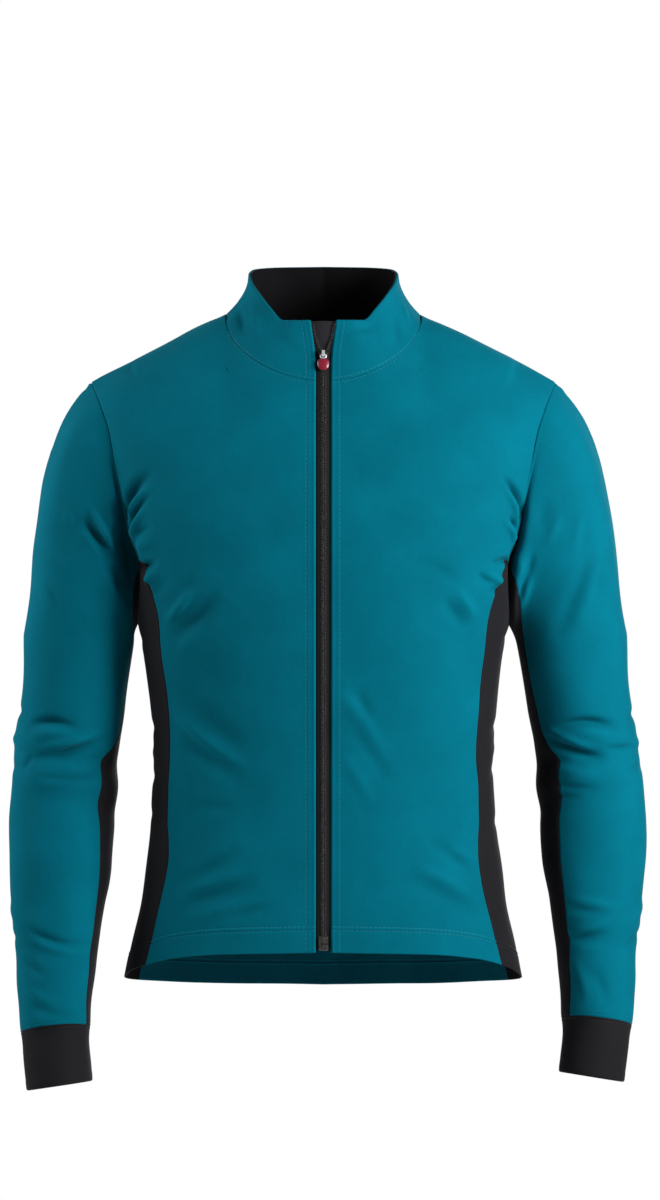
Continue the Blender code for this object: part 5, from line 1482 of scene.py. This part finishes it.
def flat_size(c):
    """The cut's greatest width and length, and its area, from the uncreased piece."""
    g = np.concatenate([c.flat_grid, c.flat_grid[:, :1]], axis=1) if c.closed else c.flat_grid
    rows = np.linalg.norm(np.diff(g, axis=1), axis=2).sum(axis=1)
    cols = np.linalg.norm(np.diff(g, axis=0), axis=2).sum(axis=0)
    a, b = g[1:, 1:] - g[:-1, :-1], g[1:, :-1] - g[:-1, 1:]
    area = 0.5 * np.linalg.norm(np.cross(a, b), axis=2).sum()
    return (float(rows.max()), float(cols.max())), float(area)


# ---------------------------------------------------------------- the pieces laid out
EDGES_OF = {
    "front": ("hem", "neck", "zip", "seam"),
    "back": ("hem", "neck", "seam", "seam"),
    "side": ("hem", "seam", "seam", "seam"),
    "sleeve": ("seam", "cuff_seam", "seam", "seam"),
    "undersleeve": ("seam", "cuff_seam", "seam", "seam"),
    "cuff": ("cuff_seam", "turned", "plain", "plain"),
    "collar": ("neck", "turned", "zip", "zip"),
}
CELL = {"front": 2.15, "back": 3.3, "side": 2.6, "sleeve": 2.3, "undersleeve": 2.4, "cuff": 1.8, "collar": 1.8}
SHELLS = {}
for name, c in Cloth.all.items():
    kind = name.split("_")[0]
    thick = CUFF_CLOTH if kind == "cuff" else CLOTH
    SHELLS[name] = Shell(c, EDGES_OF[kind], CELL[kind] * MM, thick)
skin = Cloth.all["collar"]
facing = Cloth("collar_facing", NECK, skin.grid[:, 4:-4] - skin.n[:, 4:-4] * (CLOTH / 2 + 1.5 * CLEAR + FACING_CLOTH / 2), away_from_body)
facing.n, facing.crease_and_painted_shade, facing.flat_grid = skin.n[:, 4:-4], skin.crease_and_painted_shade[:, 4:-4], skin.flat_grid[:, 4:-4]
SHELLS["collar_facing"] = Shell(facing, ("plain", "turned", "plain", "plain"), 2.2 * MM, FACING_CLOTH)


# ---------------------------------------------------------------- the zip
def zip_rows(side):
    """Rows from the zip inwards, bottom to top, with their normals: the front's, then the collar's."""
    low, high = Cloth.all["front_" + side], Cloth.all["collar"]
    way = -1 if side == "left" else 1
    join = lambda a, b: np.concatenate([a[:, :26], b[1:, ::way][:, :26]])
    return join(low.grid, high.grid), join(low.n, high.n)


class ZipLine:
    """One side's line beside the zip, sampled at heights, with places at distances from the cloth's edge."""

    def __init__(self, side, heights):
        g, n = zip_rows(side)
        z = np.maximum.accumulate(g[:, 0, 2] + np.arange(len(g)) * 1e-9)
        rows = np.interp(heights, z, np.arange(len(g)))
        i = np.clip(rows.astype(int), 0, len(g) - 2)
        t = (rows - i)[:, None, None]
        self.g, self.n = g[i] * (1 - t) + g[i + 1] * t, unit(n[i] * (1 - t) + n[i + 1] * t)
        self.s = np.concatenate(
            [np.zeros((len(heights), 1)), np.cumsum(np.linalg.norm(np.diff(self.g, axis=1), axis=2), axis=1)], axis=1
        )
        self.heights, self.sign = heights, 1.0 if side == "left" else -1.0

    def at(self, distance, inwards):
        """distance from the edge into the cloth, or out over the gap if below nothing, for each height."""
        d = np.broadcast_to(distance, self.heights.shape)
        out, ns = np.empty((len(d), 3)), np.empty((len(d), 3))
        for k, dk in enumerate(d):
            for c in range(3):
                out[k, c] = np.interp(max(dk, 0.0), self.s[k], self.g[k, :, c])
                ns[k, c] = np.interp(max(dk, 0.0), self.s[k], self.n[k, :, c])
            out[k, 0] += self.sign * min(dk, 0.0)
        ns = unit(ns)
        return out - ns * np.asarray(inwards).reshape(-1, 1), ns


def opened(heights):
    """How far the tape is drawn towards the cloth's edge above the slider."""
    share = np.clip((heights - SLIDER_Z - 0.002) / 0.024, 0, 1)
    return 0.0043 * (1 - (1 - share) ** 2)


HEM_Z, TOP_Z = HEM["z"][0], COLLAR_TOP["z"][0]
TAPE_IN = CLOTH / 2 + CLEAR + TAPE / 2
FLAP_IN = TAPE_IN + TAPE / 2 + CLEAR + FLAP_CLOTH / 2
CHAIN_IN = TAPE_IN - TAPE / 2 - CLEAR - CHAIN_THICK / 2


def strip_object(name, columns, thick, mats, kind_of):
    """A closed strip from its columns of places and normals, bottom to top."""
    g = np.stack([p for p, _ in columns], axis=1)
    n = np.stack([q for _, q in columns], axis=1)
    m, k = g.shape[:2]
    outer, inner = (g + n * thick / 2).reshape(-1, 3), (g - n * thick / 2).reshape(-1, 3)
    at_ = np.arange(m * k).reshape(m, k)
    a, b, c_, d = at_[:-1, :-1], at_[:-1, 1:], at_[1:, 1:], at_[1:, :-1]
    faces = [quads(a, b, c_, d), quads(a, d, c_, b) + m * k]
    kinds = [np.array([kind_of(j) for _ in range(m - 1) for j in range(k - 1)])] * 2
    loop = np.concatenate([at_[0, :], at_[1:, -1], at_[-1, -2::-1], at_[-2:0:-1, 0]])
    nxt = np.roll(loop, -1)
    faces.append(quads(loop, loop + m * k, nxt + m * k, nxt))
    kinds.append(np.zeros(len(loop), int))
    faces = np.concatenate(faces)
    du, dv = g[m // 2, 1] - g[m // 2, 0], g[m // 2 + 1, 0] - g[m // 2, 0]
    if np.dot(np.cross(du, dv), n[m // 2, 0]) < 0:
        faces = faces[:, ::-1]
    return make_mesh(name, np.concatenate([outer, inner]), faces, mats, np.concatenate(kinds), smooth_by=40)


def capsules(name, mat, ends, radius, sides=6, flat=1.0, outs=None):
    """Short rounded rods between pairs of places, as one mesh."""
    a, b = (np.array([e[k] for e in ends]) for k in (0, 1))
    way = unit(b - a)
    out = unit(np.array(outs)) if outs is not None else unit(np.cross(way, np.array([0.0, 0, 1.0]) + 1e-6))
    out = unit(out - (out * way).sum(1, keepdims=True) * way)
    side_way = np.cross(way, out)
    rings = ((0.0, 0.45), (0.10, 0.95), (0.90, 0.95), (1.0, 0.45))
    points = []
    angle = np.linspace(0, 2 * math.pi, sides, endpoint=False)
    for share, r in rings:
        mid = a * (1 - share) + b * share
        for t in angle:
            points.append(mid + (side_way * math.cos(t) + out * math.sin(t) * flat) * radius * r)
    count = len(a)
    points = np.array(points).transpose(1, 0, 2).reshape(-1, 3)
    faces = []
    per = len(rings) * sides
    base = np.arange(count)[:, None] * per
    for r in range(len(rings) - 1):
        for k in range(sides):
            q = [r * sides + k, r * sides + (k + 1) % sides, (r + 1) * sides + (k + 1) % sides, (r + 1) * sides + k]
            faces.append(base + np.array(q)[None])
    faces = np.concatenate(faces).tolist()
    caps = (base + np.arange(sides)[None]).tolist() + (base + (per - 1 - np.arange(sides))[None]).tolist()
    mesh_faces = [f[::-1] for f in faces] + caps
    obj = make_mesh(name, points, mesh_faces, [mat], smooth_by=60)
    bm = bmesh.new()
    bm.from_mesh(obj.data)
    bmesh.ops.recalc_face_normals(bm, faces=bm.faces[:])
    bm.to_mesh(obj.data)
    bm.free()
    return obj


tape_z = np.linspace(HEM_Z + 0.0010, TOP_Z - 0.0008, 330)
TAPE_COLUMNS = table(
    "from_edge inwards",
    [
        (-0.0067, -0.35),
        (-0.0060, -0.40),
        (-0.0040, -0.40),
        (-0.0022, -0.38),
        (-0.0015, -0.20),
        (-0.0011, 0.25),
        (0.0, 0.25),
        (0.0030, 0.0),
        (0.0080, 0.0),
    ],
)
made = {}
for name in ("left", "right"):
    line = ZipLine(name, tape_z)
    columns = []
    for d, rise in zip(TAPE_COLUMNS["from_edge"], TAPE_COLUMNS["inwards"]):
        shift = opened(tape_z) if d < 0 else 0.0
        columns.append(line.at(np.minimum(d + shift, -0.0002) if d < 0 else d, TAPE_IN + rise * MM))
    # The columns from 1.5 mm short of the cloth's edge inwards take the darker colour of painted shadow.
    made["zip_tape_" + name] = strip_object(
        "zip_tape_" + name + "_woven", columns, TAPE, ["tape_face", "black_tape"], lambda j: 0 if j < 4 else 1
    )
    # the coil's turns, square to the zip
    pitch = 0.00145
    chain_z = np.arange(HEM_Z + 0.0012 + STOP_TALL + 0.0004, TOP_Z - 0.0030, pitch)
    if name == "right":
        chain_z = chain_z[:-1] + pitch / 2
    line = ZipLine(name, chain_z)
    drawn = opened(chain_z)
    inner, n1 = line.at(-0.0073 + drawn, CHAIN_IN + 0.05 * MM)
    outer, n2 = line.at(-0.0043 + drawn, CHAIN_IN + 0.05 * MM)
    tilt = np.array([0, 0, 0.00022])
    made["zip_chain_" + name] = capsules(
        "zip_chain_" + name + "_coil", "black_coil", list(zip(inner - tilt, outer + tilt)), 0.00040, 6, 1.15, n1
    )

# The wind flap behind it, with a rounded bound edge at the top.
flap_z = np.linspace(HEM_Z + 0.0010, TOP_Z - 0.0008, 260)
half = {}
for name in ("left", "right"):
    line = ZipLine(name, flap_z)
    half[name] = [line.at(d, FLAP_IN) for d in (0.0088, 0.0045, 0.0)]
bulge = soft((flap_z - SLIDER_Z) / 0.022)
columns = [*half["left"]]
for share in np.linspace(0, 1, 9)[1:-1]:
    p = half["left"][2][0] * (1 - share) + half["right"][2][0] * share
    q = unit(half["left"][2][1] * (1 - share) + half["right"][2][1] * share)
    p = p + q * (bulge * 0.0016 * math.sin(math.pi * share))[:, None]
    columns.append((p, q))
columns += half["right"][::-1]
made["wind_flap"] = strip_object("wind_flap_cloth", columns, FLAP_CLOTH, ["flap_cloth"], lambda j: 0)
top_line = [c[0][-1] for c in columns[1:-1]]


def rod(name, mat, path, radius, sides=8, closed=False):
    """A round rod along a path, as a mesh with closed ends."""
    path = np.asarray(path, float)
    n = len(path)
    way = unit(np.roll(path, -1, 0) - np.roll(path, 1, 0)) if closed else unit(np.gradient(path, axis=0))
    out = unit(np.cross(way[0], [0.13, 0.31, 0.94]))
    outs = []
    for k in range(n):
        out = unit(out - np.dot(out, way[k]) * way[k])
        outs.append(out)
    outs = np.array(outs)
    side_way = np.cross(way, outs)
    t = np.linspace(0, 2 * math.pi, sides, endpoint=False)
    points = path[:, None] + radius * (outs[:, None] * np.cos(t)[None, :, None] + side_way[:, None] * np.sin(t)[None, :, None])
    at_ = np.arange(n * sides).reshape(n, sides)
    nxt = np.roll(at_, -1, axis=1)
    if closed:
        faces = quads(at_, nxt, np.roll(nxt, -1, axis=0), np.roll(at_, -1, axis=0)).tolist()
    else:
        faces = quads(at_[:-1], nxt[:-1], nxt[1:], at_[1:]).tolist() + [at_[0][::-1].tolist(), at_[-1].tolist()]
    return make_mesh(name, points.reshape(-1, 3), faces, [mat], smooth_by=60)


made["flap_binding"] = rod("flap_binding", "flap_cloth", top_line, 0.00085)

# The slider, in its own directions: across, up the zip, and out from the cloth's middle.
ends = [ZipLine("left", np.array([SLIDER_Z + d])).at(0.0, 0.0)[0][0] * np.array([0, 1, 1]) for d in (-0.0040, 0.0040)]
FRAME_AT = 0.5 * (ends[0] + ends[1])
UP = unit(ends[1] - ends[0])
OUT = np.array([0.0, -UP[2], UP[1]])


def at_slider(across, up, out):
    return FRAME_AT + np.array([across, 0, 0]) + UP * up + OUT * out


def softened(name, node, mat, width, body_smooth=30, segments=3):
    """A new piece from a CAD node's form, with its sharp edges rounded."""
    bm = bmesh.new()
    bm.from_mesh(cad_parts[node].data)
    bm.transform(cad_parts[node].matrix_world)
    bmesh.ops.remove_doubles(bm, verts=bm.verts[:], dist=1e-6)
    bmesh.ops.dissolve_limit(bm, angle_limit=math.radians(4), verts=bm.verts[:], edges=bm.edges[:])
    sharp = [e for e in bm.edges if len(e.link_faces) == 2 and e.calc_face_angle(0) > math.radians(28)]
    bmesh.ops.bevel(bm, geom=sharp, offset=width, segments=segments, profile=0.5, affect="EDGES", clamp_overlap=True)
    mesh = bpy.data.meshes.new(name)
    bm.to_mesh(mesh)
    bm.free()
    mesh.materials.clear()
    mesh.materials.append(MATERIALS[mat])
    mesh.shade_smooth()
    mesh.set_sharp_from_angle(angle=math.radians(body_smooth))
    obj = bpy.data.objects.new(name, mesh)
    bpy.context.scene.collection.objects.link(obj)
    return obj


made["zip_slider"] = softened("zip_slider_plate", "zip_slider", "black_lacquer", 0.00030)
made["zip_bridge"] = softened("zip_bridge_arch", "zip_bridge", "steel", 0.00035)
made["zip_stop"] = softened("zip_stop_box", "zip_stop", "stop_metal", 0.00035)


def pull_piece():
    """The pull: a soft rounded pad, domed in front."""
    up, half_wide = PULL["up"], PULL["half"]
    fine = np.linspace(up[0], up[-1], 26) if up[0] < up[-1] else np.linspace(up[-1], up[0], 26)
    width = (1 - 0.10 * np.clip((-0.0075 - fine) / 0.008, 0, 1)) * np.array([float(smooth(*((up, half_wide) if up[0] < up[-1] else (up[::-1], half_wide[::-1])), u)) for u in fine])
    ring = np.concatenate([np.stack([width, fine], 1), np.stack([-width, fine], 1)[::-1]])
    mid = ring.mean(axis=0)
    flat = ((1.0, 0.0), (0.985, 0.45), (0.93, 0.78), (0.84, 0.95), (0.74, 0.93), (0.62, 0.80), (0.35, 0.80), (0.0, 0.80))
    domed = ((1.0, 0.0), (0.985, 0.42), (0.93, 0.80), (0.84, 1.10), (0.70, 1.38), (0.50, 1.66), (0.25, 1.88), (0.0, 1.96))
    points, faces = [], []
    k = len(ring)
    t = PULL_THICK / 2
    for side_ in (1, -1):
        for share, tall in domed if side_ > 0 else flat[1:]:
            for x, u in (ring - mid) * share + mid:
                points.append(at_slider(x, u, LINK_OUT + side_ * t * tall))
    rows = len(domed)
    at_ = np.arange(rows * k).reshape(rows, k)
    other = np.concatenate([at_[:1], np.arange(rows * k, (2 * rows - 1) * k).reshape(rows - 1, k)])
    for grid, flip_it in ((at_, False), (other, True)):
        nxt = np.roll(grid, -1, axis=1)
        f = quads(grid[:-1], nxt[:-1], nxt[1:], grid[1:])
        faces += (f[:, ::-1] if flip_it else f).tolist()
    obj = make_mesh("zip_pull_rubber", np.array(points), faces, ["red_rubber"], smooth_by=60)
    bm = bmesh.new()
    bm.from_mesh(obj.data)
    bmesh.ops.remove_doubles(bm, verts=bm.verts[:], dist=1e-6)
    bmesh.ops.dissolve_degenerate(bm, edges=bm.edges[:], dist=1e-7)
    bmesh.ops.recalc_face_normals(bm, faces=bm.faces[:])
    bm.to_mesh(obj.data)
    bm.free()
    return obj


made["zip_pull"] = pull_piece()


# ---------------------------------------------------------------- stitches
def stitch_ends(points, ns, length=0.0029, gap=0.0012, lift=0.00012, inset_ends=0.002):
    run = np.concatenate([[0], np.cumsum(np.linalg.norm(np.diff(points, axis=0), axis=1))])
    starts = np.arange(inset_ends, run[-1] - length - inset_ends, length + gap)
    ends, outs = [], []
    at_run = lambda arr, s: np.array([np.interp(s, run, arr[:, c]) for c in range(3)])
    for s in starts:
        n = unit(at_run(ns, s + length / 2))
        ends.append((at_run(points, s) + n * lift, at_run(points, s + length) + n * lift))
        outs.append(n)
    return ends, outs


def sew(name, mat, lines, radius=0.00023, **how):
    ends, outs = [], []
    for points, ns in lines:
        e, o = stitch_ends(points, ns, **how)
        ends += e
        outs += o
    return capsules(name, mat, ends, radius, 5, 1.0, outs)


hem_lines = [SHELLS[n].line("low", d) for n in ("front_left", "front_right", "back") for d in HEM_ROWS]
dark_hem = [SHELLS[n].line("low", d) for n in ("side_left", "side_right") for d in HEM_ROWS]
placket = [SHELLS["front_" + n].line("first", PLACKET_ROW) for n in ("left", "right")]
placket += [SHELLS["collar"].line("first", PLACKET_ROW), SHELLS["collar"].line("last", PLACKET_ROW)]
neck_lines = [SHELLS["collar"].line("low", COLLAR_ROW)]
for n in ("front_left", "front_right", "back"):
    points, ns = SHELLS[n].line("high", NECK_ROW)
    wide = np.abs(points[:, 0]) < NECK_X - 0.001
    neck_lines.append((points[wide], ns[wide]))
cuff_lines = [SHELLS["cuff_" + n].line("low", CUFF_ROW) for n in ("left", "right")]
stitched = {
    "hem_stitches": sew("hem_stitches", "teal_thread", hem_lines),
    "hem_stitches_sides": sew("hem_stitches_sides", "dark_thread", dark_hem),
    "placket_stitches": sew("placket_stitches", "teal_thread", placket),
    "neck_stitches": sew("neck_stitches", "teal_thread", neck_lines),
    "cuff_stitches": sew("cuff_stitches", "dark_thread", cuff_lines),
}

# ---------------------------------------------------------------- what each piece is
NEIGHBOURS = {
    "front_left": ["back", "side_left", "collar"],
    "front_right": ["back", "side_right", "collar"],
    "back": ["front_left", "front_right"],
    "side_left": ["front_left", "back"],
    "side_right": ["front_right", "back"],
    "sleeve_left": ["front_left", "back"],
    "sleeve_right": ["front_right", "back"],
    "undersleeve_left": ["sleeve_left", "side_left"],
    "undersleeve_right": ["sleeve_right", "side_right"],
    "cuff_left": ["sleeve_left", "undersleeve_left"],
    "cuff_right": ["sleeve_right", "undersleeve_right"],
    "collar": ["front_left", "front_right", "back"],
    "collar_facing": ["collar"],
}
sheets = {}
for name, shell in SHELLS.items():
    teal = name.split("_")[0] in ("front", "back", "sleeve") or name == "collar"
    slot = "teal_cloth" if teal else "black_cloth"
    obj = build_shell(shell, slot, "teal_fleece" if teal else "black_inside")
    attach(obj, "garment")
    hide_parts(name)
    flat, area = flat_size(Cloth.all[name])
    area = min(max(area, 0.301 * flat[0] * flat[1]), flat[0] * flat[1])
    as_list(NEIGHBOURS[name])
    sheets[name] = [round(v, 4) for v in (*flat, area)]

for name, obj in made.items():
    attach(obj, "pull" if name == "zip_pull" else "garment")
    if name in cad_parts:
        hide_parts(name)
for name, obj in stitched.items():
    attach(obj, "garment")

whole_zip = float(np.linalg.norm(np.diff(ZipLine("left", tape_z).g[:, 0], axis=0), axis=1).sum())
link_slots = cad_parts["pull_link"].material_slots
for slot in link_slots:
    slot.material = MATERIALS["steel"]

# ---------------------------------------------------------------- the studio
floor = bpy.data.meshes.new("floor")
ring = [(2.4 * math.cos(a), 2.4 * math.sin(a), -1.45) for a in np.linspace(0, 2 * math.pi, 64, endpoint=False)]
floor.from_pydata(ring, [], [list(range(64))])
floor_mat, _, _ = shader_of("studio_floor", (0.95, 0.95, 0.95), 0.9)
floor.materials.append(floor_mat)
floor_obj = bpy.data.objects.new("studio_floor", floor)
bpy.context.scene.collection.objects.link(floor_obj)
floor_obj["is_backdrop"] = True


def lamp(name, place, aim, size, watts, colour=(1, 1, 1)):
    data = bpy.data.lights.new(name, "AREA")
    data.shape = "SQUARE"
    data.size, data.energy, data.color = size, watts, colour
    obj = bpy.data.objects.new(name, data)
    obj.location = place
    obj.visible_camera = False
    obj.rotation_euler = (Vector(aim) - Vector(place)).to_track_quat("-Z", "Y").to_euler()
    bpy.context.scene.collection.objects.link(obj)


LAMPS = table(
    "x y z size watts",
    [
        (1.20, -0.92, 0.22, 0.7, 32.0),
        (-1.35, 0.03, 0.24, 0.8, 15.0),
        (0.35, 2.50, 0.30, 1.6, 50.0),
    ],
)
for name, (x, y, z, size, watts) in zip(("key", "fill", "behind"), zip(*LAMPS.values())):
    lamp(name, (float(x), float(y), float(z)), (0, 0, -0.08), float(size), float(watts))
world = bpy.data.worlds.new("studio")
bpy.context.scene.world = world
world.use_nodes = True
nodes, links = world.node_tree.nodes, world.node_tree.links
plain, seen = nodes["Background"], nodes.new("ShaderNodeBackground")
plain.inputs["Color"].default_value, plain.inputs["Strength"].default_value = (1, 1, 1, 1), 0.125
seen.inputs["Color"].default_value, seen.inputs["Strength"].default_value = (1, 1, 1, 1), 1.0
mix, path = nodes.new("ShaderNodeMixShader"), nodes.new("ShaderNodeLightPath")
links.new(path.outputs["Is Camera Ray"], mix.inputs["Fac"])
links.new(plain.outputs["Background"], mix.inputs[1])
links.new(seen.outputs["Background"], mix.inputs[2])
links.new(mix.outputs["Shader"], nodes["World Output"].inputs["Surface"])
bpy.context.scene.view_settings.view_transform = "Standard"

plain_box = lambda b: [[float(v) for v in p] for p in b]
{"cad": plain_box(CAD_BOX), "looks": plain_box(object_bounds()), "sheets": sheets}
